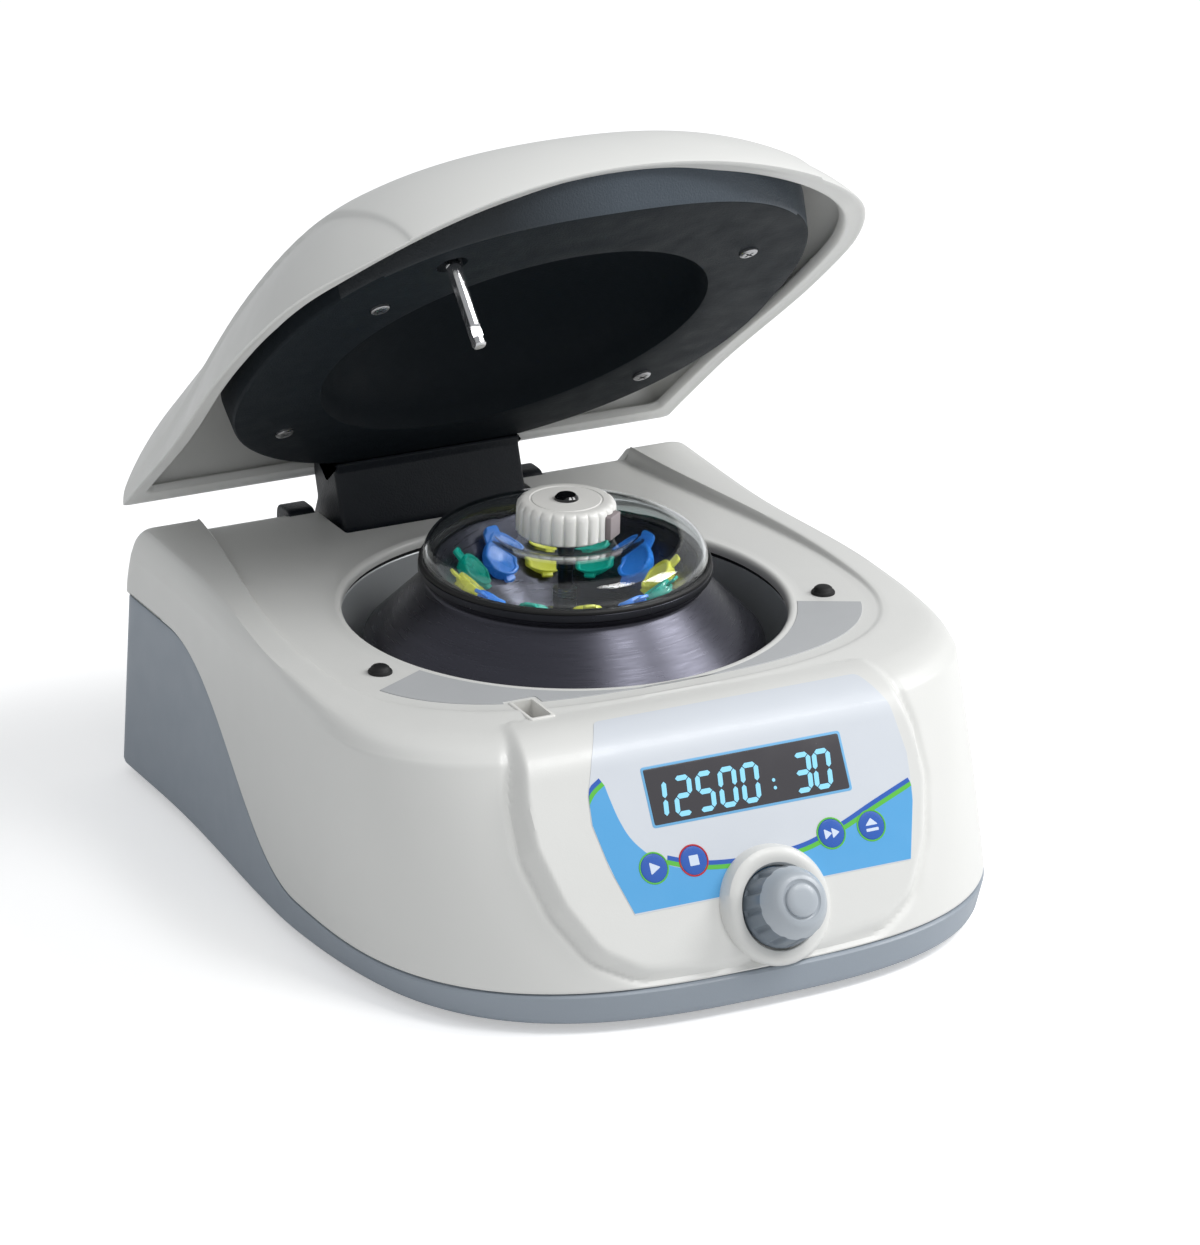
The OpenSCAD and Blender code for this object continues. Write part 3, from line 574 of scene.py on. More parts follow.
def shaded(colour, factor):
    return tuple(clamp(c * factor) for c in colour[:3]) + (1.0,)


def set_inputs(node, **values):
    """Sets a node's inputs; a space in an input's name is written as an underscore."""
    for name, value in values.items():
        node.inputs[name.replace("_", " ")].default_value = value


def add_node(tree, kind, **values):
    node = tree.nodes.new("ShaderNode" + kind)
    set_inputs(node, **values)
    return node


def noise(tree, vector, scale, detail):
    cloud = add_node(tree, "TexNoise", Scale=scale, Detail=detail)
    tree.links.new(vector, cloud.inputs["Vector"])
    return cloud.outputs["Fac"]


def pick_by_ray(tree, kind, usual, special, end):
    """Shows one shader to rays of a kind and another to the rest."""
    ray = add_node(tree, "LightPath")
    pick = add_node(tree, "MixShader")
    tree.links.new(ray.outputs[kind], pick.inputs["Fac"])
    tree.links.new(usual, pick.inputs[1])
    tree.links.new(special, pick.inputs[2])
    tree.links.new(pick.outputs["Shader"], tree.nodes[end].inputs["Surface"])


def material(name, rgb, roughness, metallic, coat, bump, grain, patch_depth, scuff=0.06, transmission=0.0,
             ior=1.5, emission=0.0, specular=0.5, stretch=(1, 1, 1)):
    """Moulded, coated or metal surface: soft patches of tone, uneven gloss and a fine grain."""
    colour = srgb(*rgb)
    made = bpy.data.materials.new(name)
    made.use_nodes = True
    tree = made.node_tree
    links = tree.links
    shader = tree.nodes["Principled BSDF"]
    set_inputs(shader, Metallic=metallic, Coat_Weight=coat, Coat_Roughness=0.08, IOR=ior,
               Transmission_Weight=transmission, Specular_IOR_Level=specular)
    where = add_node(tree, "TexCoord")
    scale = add_node(tree, "Mapping", Scale=stretch)
    links.new(where.outputs["Object"], scale.inputs["Vector"])
    vector = scale.outputs["Vector"]

    tone = add_node(tree, "ValToRGB")
    low, high = tone.color_ramp.elements
    low.position, high.position = 0.3, 0.7
    low.color = shaded(colour, 1 - patch_depth)
    high.color = shaded(colour, 1 + patch_depth / 2)
    links.new(noise(tree, vector, PATCH_SCALE, 4), tone.inputs["Fac"])
    links.new(tone.outputs["Color"], shader.inputs["Base Color"])
    if emission > 0:
        links.new(tone.outputs["Color"], shader.inputs["Emission Color"])
        set_inputs(shader, Emission_Strength=emission)

    gloss = add_node(tree, "MapRange", From_Min=0.3, From_Max=0.7,
                     To_Min=max(0.02, roughness - scuff), To_Max=min(1.0, roughness + scuff))
    links.new(noise(tree, vector, WEAR_SCALE, 5), gloss.inputs["Value"])
    links.new(gloss.outputs["Result"], shader.inputs["Roughness"])

    if bump > 0:
        relief = add_node(tree, "Bump", Strength=bump, Distance=BUMP_DEPTH)
        links.new(noise(tree, vector, grain, 2), relief.inputs["Height"])
        links.new(relief.outputs["Normal"], shader.inputs["Normal"])
    return made


LINER_COLOUR = (27, 33, 38)
TUBE_COLOURS = {"blue": (52, 132, 222), "green": (10, 166, 146), "yellow": (206, 208, 70)}

# Name, colour, roughness, metallic, coat, bump, grain, depth of the patches and what else differs
SURFACES = {
    "shell": ("shell_white", (226, 226, 223), 0.38, 0, 0.08, 0.03, 1400, 0.015, {}),
    "base": ("base_grey", (150, 159, 169), 0.42, 0, 0.05, 0.06, 1600, 0.02, {}),
    "liner": ("liner_black", LINER_COLOUR, 0.55, 0, 0, 0.25, 1500, 0.06, {"ior": 1.2}),
    # The liner band is the black liner again, made lighter: a painted highlight on the front wall that faces
    # the lamps
    "liner_band": ("liner_band", (66, 75, 84), 0.45, 0, 0, 0.4, 1500, 0.06, {"specular": 0.4}),
    "arm": ("arm_black", (28, 33, 40), 0.42, 0, 0, 0.3, 1500, 0.08, {"specular": 0.35}),
    "rotor": ("rotor_anodised", (70, 70, 79), 0.31, 0.8, 0, 0.02, 900, 0.08, {"stretch": (1, 1, 30)}),
    # The flange colour is the rotor's anodised colour made darker, painted shade, also given to the knob's
    # stud
    "flange": ("rotor_flange", (44, 45, 51), 0.3, 0.8, 0, 0.02, 900, 0.08, {}),
    "bowl": ("bowl_steel", (222, 226, 228), 0.34, 0.35, 0, 0.05, 900, 0.06, {}),
    "rubber": ("rubber", (22, 22, 23), 0.62, 0, 0, 0.2, 2500, 0.15, {}),
    "black": ("gloss_black", (12, 12, 14), 0.14, 0, 0.5, 0, 900, 0.04, {}),
    "pale": ("pale_plastic", (241, 240, 236), 0.34, 0, 0.1, 0.03, 1500, 0.04, {}),
    "tab": ("tab_plastic", (156, 146, 148), 0.42, 0, 0, 0.05, 1500, 0.04, {}),
    # The knob is one grey plastic: the first grey below is darker, painted shade on its fluted sides, and
    # the second lighter, painted highlight on its top and cap
    "dial": ("dial_grey", (116, 126, 136), 0.4, 0, 0.08, 0.1, 1800, 0.04, {}),
    "dial_lit_top": ("dial_cap_grey", (178, 185, 192), 0.36, 0, 0.08, 0.06, 1800, 0.04, {}),
    "film": ("panel_film", (216, 221, 228), 0.36, 0, 0.1, 0.03, 2200, 0.008, {}),
    "blue_field": ("panel_blue", (92, 172, 228), 0.34, 0, 0.1, 0.03, 2200, 0.01, {}),
    "dark_blue": ("panel_dark_blue", (48, 98, 190), 0.3, 0, 0.2, 0.04, 2200, 0.04, {}),
    "green": ("panel_green", (98, 196, 70), 0.32, 0, 0.2, 0.04, 2200, 0.04, {}),
    "red": ("ring_red", (196, 40, 52), 0.32, 0, 0.2, 0.04, 2200, 0.04, {}),
    "button": ("button_blue", (50, 98, 188), 0.28, 0, 0.25, 0.05, 2200, 0.04, {}),
    "icon": ("icon_white", (220, 232, 250), 0.35, 0, 0, 0.04, 2200, 0.04, {}),
    "display": ("display_dark", (70, 68, 72), 0.22, 0, 0.3, 0.02, 2500, 0.04, {}),
    "display_edge": ("display_edge", (120, 186, 232), 0.3, 0, 0, 0.02, 2500, 0.04, {}),
    "digit": ("digit_blue", (142, 212, 240), 0.35, 0, 0, 0.02, 2500, 0.04, {"emission": 0.25}),
    "label": ("label_grey", (188, 190, 192), 0.45, 0, 0, 0.08, 2400, 0.04, {}),
    "steel": ("brushed_steel", (178, 178, 180), 0.3, 1, 0, 0.12, 500, 0.04, {"stretch": (1, 1, 12)}),
    "bright": ("polished_steel", (206, 206, 208), 0.16, 1, 0, 0.05, 420, 0.04, {"stretch": (6, 6, 1)}),
    "board": ("circuit_board", (28, 92, 58), 0.4, 0, 0.3, 0.15, 400, 0.04, {}),
    "varnish": ("varnished_winding", (160, 118, 52), 0.35, 0, 0.3, 0.3, 300, 0.04, {}),
    "motor": ("motor_can", (96, 98, 102), 0.4, 0.7, 0, 0.1, 900, 0.04, {}),
    "dome": ("clear_dome", (248.15, 251.56, 252.72), 0.03, 0, 0, 0, 900, 0.01,
             {"transmission": 1, "ior": 1.49, "scuff": 0.01}),
}
# The tubes' plastic also glows a little, painted light that brightens them beneath the dome
for tube_name, tube_colour in TUBE_COLOURS.items():
    SURFACES["tube_" + tube_name] = (
        "tube_" + tube_name, tube_colour, 0.3, 0, 0, 0.03, 900, 0.04,
        {"transmission": 0.15, "ior": 1.49, "emission": 0.16})
M = {key: material(*row[:-1], **row[-1]) for key, row in SURFACES.items()}


def let_lamps_through(made, share):
    """Lets part of the lamps' light through a clear material, so that it casts a thin shadow."""
    tree = made.node_tree
    clear = add_node(tree, "BsdfTransparent", Color=(share, share, share, 1))
    pick_by_ray(tree, "Is Shadow Ray", tree.nodes["Principled BSDF"].outputs["BSDF"],
                clear.outputs["BSDF"], "Material Output")


def paint_shade_leftwards(made, dark, start, end):
    """Paints shade into a material: its colour goes over to a dark one, from end to start along X."""
    tree = made.node_tree
    links = tree.links
    axes = add_node(tree, "SeparateXYZ")
    links.new(add_node(tree, "TexCoord").outputs["Object"], axes.inputs["Vector"])
    share = add_node(tree, "MapRange", From_Min=start, From_Max=end)
    links.new(axes.outputs["X"], share.inputs["Value"])
    blend = tree.nodes.new("ShaderNodeMix")
    blend.data_type = "RGBA"
    links.new(share.outputs["Result"], blend.inputs[0])
    blend.inputs[6].default_value = dark
    base = tree.nodes["Principled BSDF"].inputs["Base Color"]
    links.new(base.links[0].from_socket, blend.inputs[7])
    links.new(blend.outputs[2], base)


let_lamps_through(M["dome"], DOME_CLEARNESS)
# Painted shade: the liner band goes back to the liner's black towards the left
paint_shade_leftwards(M["liner_band"], srgb(*LINER_COLOUR), *BAND_SHADE_SPAN)


def dress(piece, key, body, *nodes, slot=None):
    """Gives a piece its material and body, and hides the nodes it stands for."""
    piece.data.materials.clear()
    piece.data.materials.append(M[key])
    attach(piece, body)
    if nodes:
        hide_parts(*nodes)


def paint_faces(piece, key, wanted):
    """Gives a second material to the faces whose middle and normal pass a test."""
    piece.data.materials.append(M[key])
    for polygon in piece.data.polygons:
        if wanted(polygon.center / MM, polygon.normal):
            polygon.material_index = 1


# Places; TO_SIDE turns a plate to stand on edge, its outline in Y and Z and its height along X
PANEL = Matrix.Translation(PANEL_POINT) @ Matrix.Rotation(PANEL_SLOPE, 4, "X")
LID = Matrix.Translation(HINGE) @ Matrix.Rotation(-LID_OPEN, 4, "X") @ Matrix.Translation(-HINGE)
LATCH = Matrix.Translation((LATCH_X, LATCH_Y, 0))
DIAL = PANEL @ Matrix.Translation((PANEL_X, DIAL_S, 0))
TO_BACK = Matrix.Translation((0, HOUSING_BACK, 34)) @ Matrix.Rotation(math.pi / 2, 4, "X")
TO_SIDE = Matrix(((0, 0, 1, 0), (1, 0, 0, 0), (0, 1, 0, 0), (0, 0, 0, 1)))


# Panel surface: q runs up the slope and on over the rounding to the deck, h stands out of it
BEND_CENTRE = PANEL @ Vector((0, PANEL_BEND_S, -PANEL_BEND_R))
BEND_LENGTH = PANEL_BEND_R * PANEL_SLOPE


def panel_coordinates(y, z):
    local = PANEL.inverted() @ Vector((0, y, z))
    if local.y <= PANEL_BEND_S:
        return local.y, local.z
    dy, dz = y - BEND_CENTRE.y, z - BEND_CENTRE.z
    if dy < 0:
        angle = PANEL_SLOPE - math.atan2(-dy, dz)
        return PANEL_BEND_S + PANEL_BEND_R * angle, math.hypot(dy, dz) - PANEL_BEND_R
    return PANEL_BEND_S + BEND_LENGTH + dy, dz - PANEL_BEND_R


def panel_point(x, q, h=0.0):
    if q <= PANEL_BEND_S:
        return tuple(PANEL @ Vector((x, q, h)))
    over = q - PANEL_BEND_S
    if over <= BEND_LENGTH:
        angle = PANEL_SLOPE - over / PANEL_BEND_R
        r = PANEL_BEND_R + h
        return (x, BEND_CENTRE.y - r * math.sin(angle), BEND_CENTRE.z + r * math.cos(angle))
    return (x, BEND_CENTRE.y + over - BEND_LENGTH, BEND_CENTRE.z + PANEL_BEND_R + h)


def outline_distance(x, y, outline):
    """Distance to an outline, positive inside."""
    best, inside = 1e9, False
    for (x1, y1), (x2, y2) in zip(outline, outline[1:] + outline[:1]):
        dx, dy = x2 - x1, y2 - y1
        t = clamp(((x - x1) * dx + (y - y1) * dy) / (dx * dx + dy * dy))
        best = min(best, math.hypot(x - x1 - t * dx, y - y1 - t * dy))
        if (y1 > y) != (y2 > y) and x < x1 + (y - y1) / (y2 - y1) * dx:
            inside = not inside
    return best if inside else -best


PAD_OUTLINE = [(-22, -43), (20, -46), (44, -44), (57, -36), (66, -20), (71.5, 0), (71, 16), (67.5, 34),
               (63, 60), (-62, 60), (-66.5, 38), (-67, 14), (-65, -3), (-60.5, -15), (-53, -27), (-39, -37)]
PAD_LINE = rounded(PAD_OUTLINE, 14, steps=4)
PAD_BACK_Y = -86.0
PAD_REACH = 92.0
PAD_EDGE = (-4.0, 0.4)
GROOVE_DEPTH = 1.2
GROOVE_WIDTH = 1.7
GROOVE_OUT = 4.2
GROOVE_FADE = (24, 44)


def pad_shift(p):
    """Moves a point of the housing's front onto the raised pad that carries the panel."""
    x, y, z = p
    if y > PAD_BACK_Y or abs(x) > PAD_REACH:
        return p
    q, h = panel_coordinates(y, z)
    inside = outline_distance(x, q, PAD_LINE)
    share = smooth(*PAD_EDGE, inside)
    fall = math.exp(-((inside + GROOVE_OUT) / GROOVE_WIDTH) ** 2)
    groove = -GROOVE_DEPTH * fall * (1 - smooth(*GROOVE_FADE, q))
    return panel_point(x, q, mix(h + groove, 0.0, share))


# Housing
def seam_ring(inset, lift):
    ring = []
    for p, q in zip(body_half(FOOT_H, inset), body_half(BEND_H, inset)):
        z = seam_height(p[1]) + lift
        t = (z - FOOT_H) / (BEND_H - FOOT_H)
        x, y = mixed(p, q, t)
        swell = FRONT_SWELL * math.sin(math.pi * t) * clamp((WIDEST_Y - p[1]) / (HOUSING_FRONT + WIDEST_Y))
        ring.append((x, y - swell, z))
    return ring


def body_ring(t):
    """Ring part of the way from the seam to the bend of the housing's side."""
    heights = [mix(p[2], BEND_H, t) for p in seam_ring(0.0, SEAM_GAP)]
    low, high = min(heights), max(heights)
    sections = [body_half(mix(low, high, k / BODY_SECTIONS)) for k in range(BODY_SECTIONS + 1)]
    ring = []
    for i, z in enumerate(heights):
        share = (z - low) / max(1e-6, high - low) * BODY_SECTIONS
        k = min(BODY_SECTIONS - 1, int(share))
        ring.append(mixed(sections[k][i], sections[k + 1][i], share - k) + (z,))
    return ring


def crest_ring(drop, t):
    ring = []
    for i, (p, q) in enumerate(zip(body_half(BEND_H), plan_half(CREST_PLAN))):
        x, y = mixed(p, q, t)
        top = crest_height(y) if i < SHOULDER_END else DECK_H - 0.5
        ring.append((x, y, mix(BEND_H, top, 1 - drop)))
    return ring


def step_ring(top, deck, share, plan_share):
    """Ring of the step from the shoulders down to the deck."""
    ring = []
    for i, (p, q) in enumerate(zip(top, deck)):
        shoulder = max(DECK_H - 0.1, crest_height(p[1]) + 0.9) if i < SHOULDER_END else DECK_H - 0.1
        ring.append(mixed(p, q, plan_share) + (mix(shoulder, DECK_H, share),))
    return ring


def upper_housing():
    foot = [seam_ring(1.0, SEAM_GAP), seam_ring(0.35, 0.35), seam_ring(0.0, 0.9)]
    body = [body_ring(k / BODY_RINGS) for k in range(1, BODY_RINGS + 1)]
    crest = [crest_ring(drop, t) for drop, t in ((0.45, 0.28), (0.12, 0.66), (0.0, 1.0))]
    crest = spline([body[-1]] + crest, [5, 4, 4])
    top, deck = pocket_half(-1.3, CREST_BACK - 0.6), pocket_half(1.0, CREST_BACK - 1.2)
    shares = [(0.0, 0.0), (0.12, 0.25), (0.5, 0.5), (0.88, 0.75), (1.0, 1.0)]
    step = [step_ring(top, deck, share, plan_share) for share, plan_share in shares]
    land = spline([crest[-1], between(crest[-1], step[0], 0.5), step[0]], [3, 3])[1:-1]
    lip = at_height(circle_half(BOWL_R + MOUTH_LIP, deck), DECK_H)
    flat = [between(step[-1], lip, k / 7) for k in range(1, 8)]
    mouth = [at_height(circle_half(BOWL_R + r, deck), DECK_H + rise) for r, rise in
             ((2.6, 0.25), (1.6, 0.3), (0.7, -0.1), (0.15, -0.9), (0.0, -2.0), (0.0, -WALL))]
    rings = foot + body + crest[1:] + land + step + flat + mouth
    rings = [[pad_shift(p) for p in ring] for ring in rings]
    rings += [at_height(plan_half(CREST_PLAN, WALL + 7), DECK_H - WALL),
              at_height(plan_half(CREST_PLAN, WALL + 2.5), DECK_H - WALL - 1),
              at_height(body_half(BEND_H - 4, WALL), BEND_H - 4), seam_ring(WALL, SEAM_GAP)]
    piece = half_loft("upper_shell", rings, closed=True)
    cut(piece, prism("notch", rounded(rectangle(ARM_NOTCH_W, 60, 0, 119.8), 1.5), 40, 120))
    cut(piece, prism("back_notch", rectangle(EAR_NOTCH_W, 40, 0, 132.5), SEAM_BACK_H - 6, 120))
    cut(piece, prism("slot", rounded(rectangle(8.6, 15.6, LATCH_X, LATCH_Y), 0.8), 70, 110))
    dress(piece, "shell", "base", "upper_housing", slot="housing_white")


def lower_housing():
    rings = []
    for lift, inset, tuck in ((0.0, 2.6, 3.4), (0.25, 1.4, 3.3), (1.0, 0.35, 3.1), (2.2, 0.0, 2.7)):
        plain, tucked = body_half(FOOT_H + lift, inset), body_half(FOOT_H + lift, inset + tuck)
        ring = [mixed(p, q, smooth(*FRONT_TUCK, p[1])) for p, q in zip(plain, tucked)]
        rings.append(at_height(ring, FOOT_H + lift))
    foot_ring, seam = rings[-1], seam_ring(0.0, -1.0)
    rings += [between(foot_ring, seam, k / BASE_RINGS) for k in range(1, BASE_RINGS + 1)]
    rings += [seam_ring(inset, lift) for inset, lift in
              ((0.25, -0.35), (0.9, -0.1), (1.3, -0.1), (1.5, 1.6), (WALL, 1.6))]
    rings += [at_height(body_half(8, WALL), 8.0), at_height(body_half(6, WALL + 2), 6.0)]
    piece = half_loft("lower_shell", rings)
    for x, w in BACK_HOLES.values():
        cut(piece, prism("hole", rounded(rectangle(w, 22, x, 0), 2), -8, 8, place=TO_BACK))
    for i in range(VENT_COUNT):
        slot = rounded(rectangle(2.6, 24, VENT_X + (i - VENT_COUNT // 2) * VENT_STEP, 0), 1.2)
        cut(piece, prism("vent", slot, -8, 8, place=TO_BACK))
    dress(piece, "base", "base", "lower_housing", slot="housing_grey")


# Panel film and what is on it
def patch(name, outline, height, thick):
    """Thin sheet on the panel surface inside an outline given in panel coordinates."""
    flat = bmesh.new()
    corners = [flat.verts.new((x, q, 0)) for x, q in outline]
    flat.faces.new(corners).normal_update()
    low = min(q for _, q in outline)
    high = max(q for _, q in outline)
    q = max(low, PANEL_BEND_S - 1) + PATCH_STEP
    while q < high - 0.2:
        geometry = flat.verts[:] + flat.edges[:] + flat.faces[:]
        bmesh.ops.bisect_plane(flat, geom=geometry, plane_co=(0, q, 0), plane_no=(0, 1, 0))
        q += PATCH_STEP
    bmesh.ops.triangulate(flat, faces=flat.faces[:])
    raised = bmesh.ops.extrude_face_region(flat, geom=flat.faces[:])
    upper = {v for v in raised["geom"] if isinstance(v, bmesh.types.BMVert)}
    for v in flat.verts:
        v.co = Vector(panel_point(v.co.x, v.co.y, height if v in upper else height - thick)) * MM
    bmesh.ops.recalc_face_normals(flat, faces=flat.faces[:])
    mesh = bpy.data.meshes.new(name)
    flat.to_mesh(mesh)
    flat.free()
    return finish_mesh(name, mesh, 25)


FILM_OUTLINE = [(-43.0, -27.2), (59.8, -27.0), (65.8, -6.5), (67.1, 8.2), (64.9, 25.5), (58.8, 39.5),
                (-38.9, 39.5), (-45.9, 24.9), (-50.1, 13.7), (-51.1, 4.2), (-48.2, -11.2)]
FILM_LINE = rounded(FILM_OUTLINE, [0.6, 0.6, 6, 8, 8, 3, 3, 8, 8, 6, 8], steps=4)
BAND_LEFT = [(-51.2, 9.6), (-47.6, 13.6), (-43.6, 16.0), (-42.7, 10.9), (-41.2, 4.2), (-38.6, -2.4),
             (-34.0, -8.2), (-28.0, -13.0), (-19.2, -16.1), (-8.7, -17.9), (7.0, -18.6)]
BAND_RIGHT = [(23.0, -17.5), (37.6, -13.4), (51.3, -8.3), (66.3, -3.0)]


def film_ends(q):
    """Left and right ends of the film at height q, less a margin."""
    crossings = []
    for (x1, q1), (x2, q2) in zip(FILM_LINE, FILM_LINE[1:] + FILM_LINE[:1]):
        if (q1 > q) != (q2 > q):
            crossings.append(mix(x1, x2, (q - q1) / (q2 - q1)))
    return min(crossings) + FILM_MARGIN, max(crossings) - FILM_MARGIN


def stay_on_film(points):
    """Keeps a line's points between the film's left and right ends."""
    return [(clamp(x, *film_ends(q)), q) for x, q in points]


def panel_graphics():
    dress(patch("panel_film", FILM_LINE, 0.12, 0.5), "film", "base", "fascia", slot="fascia_film")
    left_end = smooth_line(BAND_LEFT[:3], 4)
    top = stay_on_film(left_end[:-1] + smooth_line(BAND_LEFT[2:] + BAND_RIGHT))
    corners = [(film_ends(q)[1], q) for q in (-8.0, -14.0, -20.0, -26.7)]
    corners += [(film_ends(q)[0], q) for q in (-26.7, -20.0, -14.0, -8.0, -2.0, 4.0)]
    dress(patch("panel_band", top + corners, 0.16, 0.1), "blue_field", "base", slot="fascia_film")
    lines = {"left": left_end, "right": smooth_line(BAND_LEFT[7:] + BAND_RIGHT)}
    for side, line in lines.items():
        for name, low, key in (("stripe_green_", 0.0, "green"), ("stripe_blue_", STRIPE_W, "dark_blue")):
            outline = stay_on_film(offset_line(line, low))
            outline += stay_on_film(offset_line(line, low + STRIPE_W))[::-1]
            dress(patch(name + side, outline, 0.2, 0.1), key, "base", slot="fascia_film")


# Bars of each figure; each bar runs from a corner or a middle of the figure's box to another
FIGURES = {"0": "abcdef", "1": "bc", "2": "abged", "3": "abgcd", "5": "afgcd"}
BARS = {"a": ((0, 2), (1, 2)), "b": ((1, 1), (1, 2)), "c": ((1, 0), (1, 1)), "d": ((0, 0), (1, 0)),
        "e": ((0, 0), (0, 1)), "f": ((0, 1), (0, 2)), "g": ((0, 1), (1, 1))}


def bar_outline(key):
    """Outline of one bar of a seven-segment figure, drawn from its lower left."""
    start, end = [Vector((x * FIGURE_W, y * FIGURE_H / 2)) for x, y in BARS[key]]
    along = (end - start).normalized()
    side = Vector((along.y, -along.x)) * BAR_W / 2
    start, end = start + along * BAR_GAP, end - along * BAR_GAP
    inner_start, inner_end = start + along * BAR_W / 2, end - along * BAR_W / 2
    points = [start, inner_start + side, inner_end + side, end, inner_end - side, inner_start - side]
    return [(p.x + BAR_SLANT * p.y, p.y) for p in points]


def display():
    outline = rounded(rectangle(DISPLAY_W, DISPLAY_H, PANEL_X, DISPLAY_H / 2), 0.8)
    glass = prism("display_glass", outline, -1.2, 0.3, place=PANEL, edge=0.2)
    dress(glass, "display", "base", "display_window", slot="display_glass")
    around = 2 * DISPLAY_BORDER
    outline = rounded(rectangle(DISPLAY_W + around, DISPLAY_H + around, PANEL_X, DISPLAY_H / 2), 1.2)
    edge = prism("display_border", outline, 0.0, 0.2, place=PANEL, edge=0.05)
    dress(edge, "display_edge", "base", slot="fascia_film")
    marks = []
    for figure, x in zip("1250030", (-36.4, -27.2, -18.9, -10.6, -2.3, 17.2, 24.6)):
        for key in FIGURES[figure]:
            marks.append([(PANEL_X + x + px, FIGURE_LOW + py) for px, py in bar_outline(key)])
    marks += [disc(0.6, 12, PANEL_X + 9.4, y) for y in (7.4, 4.8)]
    bars = [prism("bar", mark, *FIGURE_LAYER, place=PANEL, edge=0.0) for mark in marks]
    dress(join("display_figures", bars), "digit", "base", slot="display_glass")


# Each button's place along the panel, its ring's material and the outlines of its sign
BUTTONS = {
    "start_button": (-32.8, "green", [[(-1.5, -2.1), (2.3, 0), (-1.5, 2.1)]]),
    "stop_button": (-18.2, "red", [rectangle(3.4, 3.4)]),
    "pulse_button": (33.0, "green", [[(x, -1.8), (x + 2.8, 0), (x, 1.8)] for x in (-2.6, 0.2)]),
    "release_button": (48.1, "green", [[(-2.4, 0.1), (2.4, 0.1), (0, 2.5)], rectangle(4.6, 1.0, 0, -1.4)])}
BUTTON_CAP = [(0, -1.2), (4.8, -1.2), (4.8, 0.1), (4.6, 0.34), (4.0, 0.46), (2.0, 0.5), (0, 0.5)]
BUTTON_RING = [(4.8, -1.2), (5.35, -1.2), (5.35, 0.22), (5.25, 0.32), (4.9, 0.32), (4.8, 0.22)]


def buttons():
    for name, (x, ring_key, outlines) in BUTTONS.items():
        place = PANEL @ Matrix.Translation((x, BUTTON_S, 0))
        dress(lathe(name + "_cap", BUTTON_CAP, 48, place), "button", name, name, slot="button_blue")
        dress(lathe(name + "_ring", BUTTON_RING, 48, place), ring_key, name, slot="button_blue")
        marks = [prism("mark", rounded(outline, 0.25, 2), *SIGN_LAYER, place=place, edge=0.0)
                 for outline in outlines]
        dress(join(name + "_icon", marks), "icon", name, slot="button_blue")


def tooth(a, count):
    """Place between two teeth of a toothed edge: 0 in the middle of a tooth's gap, 1 at its ends."""
    return abs(((a * count / (2 * math.pi)) % 1.0) - 0.5) * 2


def grooved(r, z, depth, a):
    return on_circle(max(0.0, r - 1.1 * depth * smooth(0.5, 0.95, tooth(a, DIAL_GROOVES))), z, a)


def fluted(r, z, depth, a):
    round_share = math.sqrt(max(0.0, 1 - 0.98 * tooth(a, KNOB_FLUTES) ** 2))
    return on_circle(r - 0.85 * depth * (1 - round_share), z, a)


def slanted(r, z, scaled, a):
    """Point of the collar, which is higher on the side towards the deck."""
    height = mix(COLLAR_LOW, COLLAR_HIGH, smooth(-0.8, 0.7, math.sin(a) - 0.35 * math.cos(a)))
    shift = COLLAR_SHIFT * clamp((r - COLLAR_IN) / COLLAR_SPREAD)
    return (r * math.cos(a), r * math.sin(a) + shift, height * z if scaled else z)


def dial_collar():
    profile = [(13.9, -1.5, 0), (20.3, -1.5, 0), (20.1, 0.0, 0), (19.6, 0.45, 1), (18.6, 0.85, 1),
               (17.2, 1.0, 1), (15.6, 1.0, 1), (14.5, 0.92, 1), (14.0, 0.7, 1)]
    ring = loft("dial_ring", turned(profile, 96, slanted), closed=True, place=DIAL)
    dress(ring, "shell", "base", "dial_collar", slot="housing_white")


def dial():
    profile = [(12.4, 1.0, 0.0), (13.3, 1.3, 0.0), (13.4, 2.0, 0.0), (13.4, 3.6, 0.0), (13.1, 4.2, 0.7),
               (12.9, 6.5, 1.0), (12.7, 10.0, 1.0), (12.4, 12.0, 0.8), (12.1, 13.2, 0.25), (11.8, 14.0, 0.0),
               (11.0, 15.6, 0.0), (10.1, 17.4, 0.0), (9.0, 18.8, 0.0), (8.0, 19.4, 0.0), (6.9, 19.6, 0.0),
               (6.4, 19.2, 0.0), (5.9, 19.2, 0.0), (0.0, 18.0, 0.0), (0.0, 1.0, 0.0)]
    knob = loft("dial_knob", turned(profile, 192, grooved), caps=None, place=DIAL, sharp=40)
    dress(knob, "dial", "dial", "control_dial", slot="dial_grey")
    upright = DIAL.inverted()
    # The faces above that height take the lighter grey, a painted highlight on the knob's top
    paint_faces(knob, "dial_lit_top", lambda middle, _: (upright @ middle).z > DIAL_LIT_TOP_Z)
    top = [(0, 19.0), (5.5, 19.0), (5.7, 19.4), (5.5, 20.2), (5.0, 20.6), (3.0, 20.85), (0, 20.9)]
    dress(lathe("dial_top", top, 64, DIAL), "dial_lit_top", "dial", slot="dial_grey")


# Deck
def deck_label():
    angles = [math.radians(mix(LABEL_LEFT, LABEL_RIGHT, i / 60)) for i in range(61)]
    outline = [(LABEL_R * math.cos(a), LABEL_R * math.sin(a)) for a in angles]
    outer = [(math.degrees(math.atan2(y, x)), x, y) for x, y in mirror(pocket_half(5.5, 110))]
    outline += [(x, y) for angle, x, y in sorted(outer, reverse=True) if LABEL_LEFT <= angle <= LABEL_RIGHT]
    label = prism("deck_film", outline, DECK_H, DECK_H + 0.28, edge=0.1, steps=1)
    slot = prism("slot", rounded(rectangle(12.4, 19.4, LATCH_X, LATCH_Y), 1.2), 80, 100)
    dress(cut(label, slot), "label", "base", "deck_label", slot="label_grey")


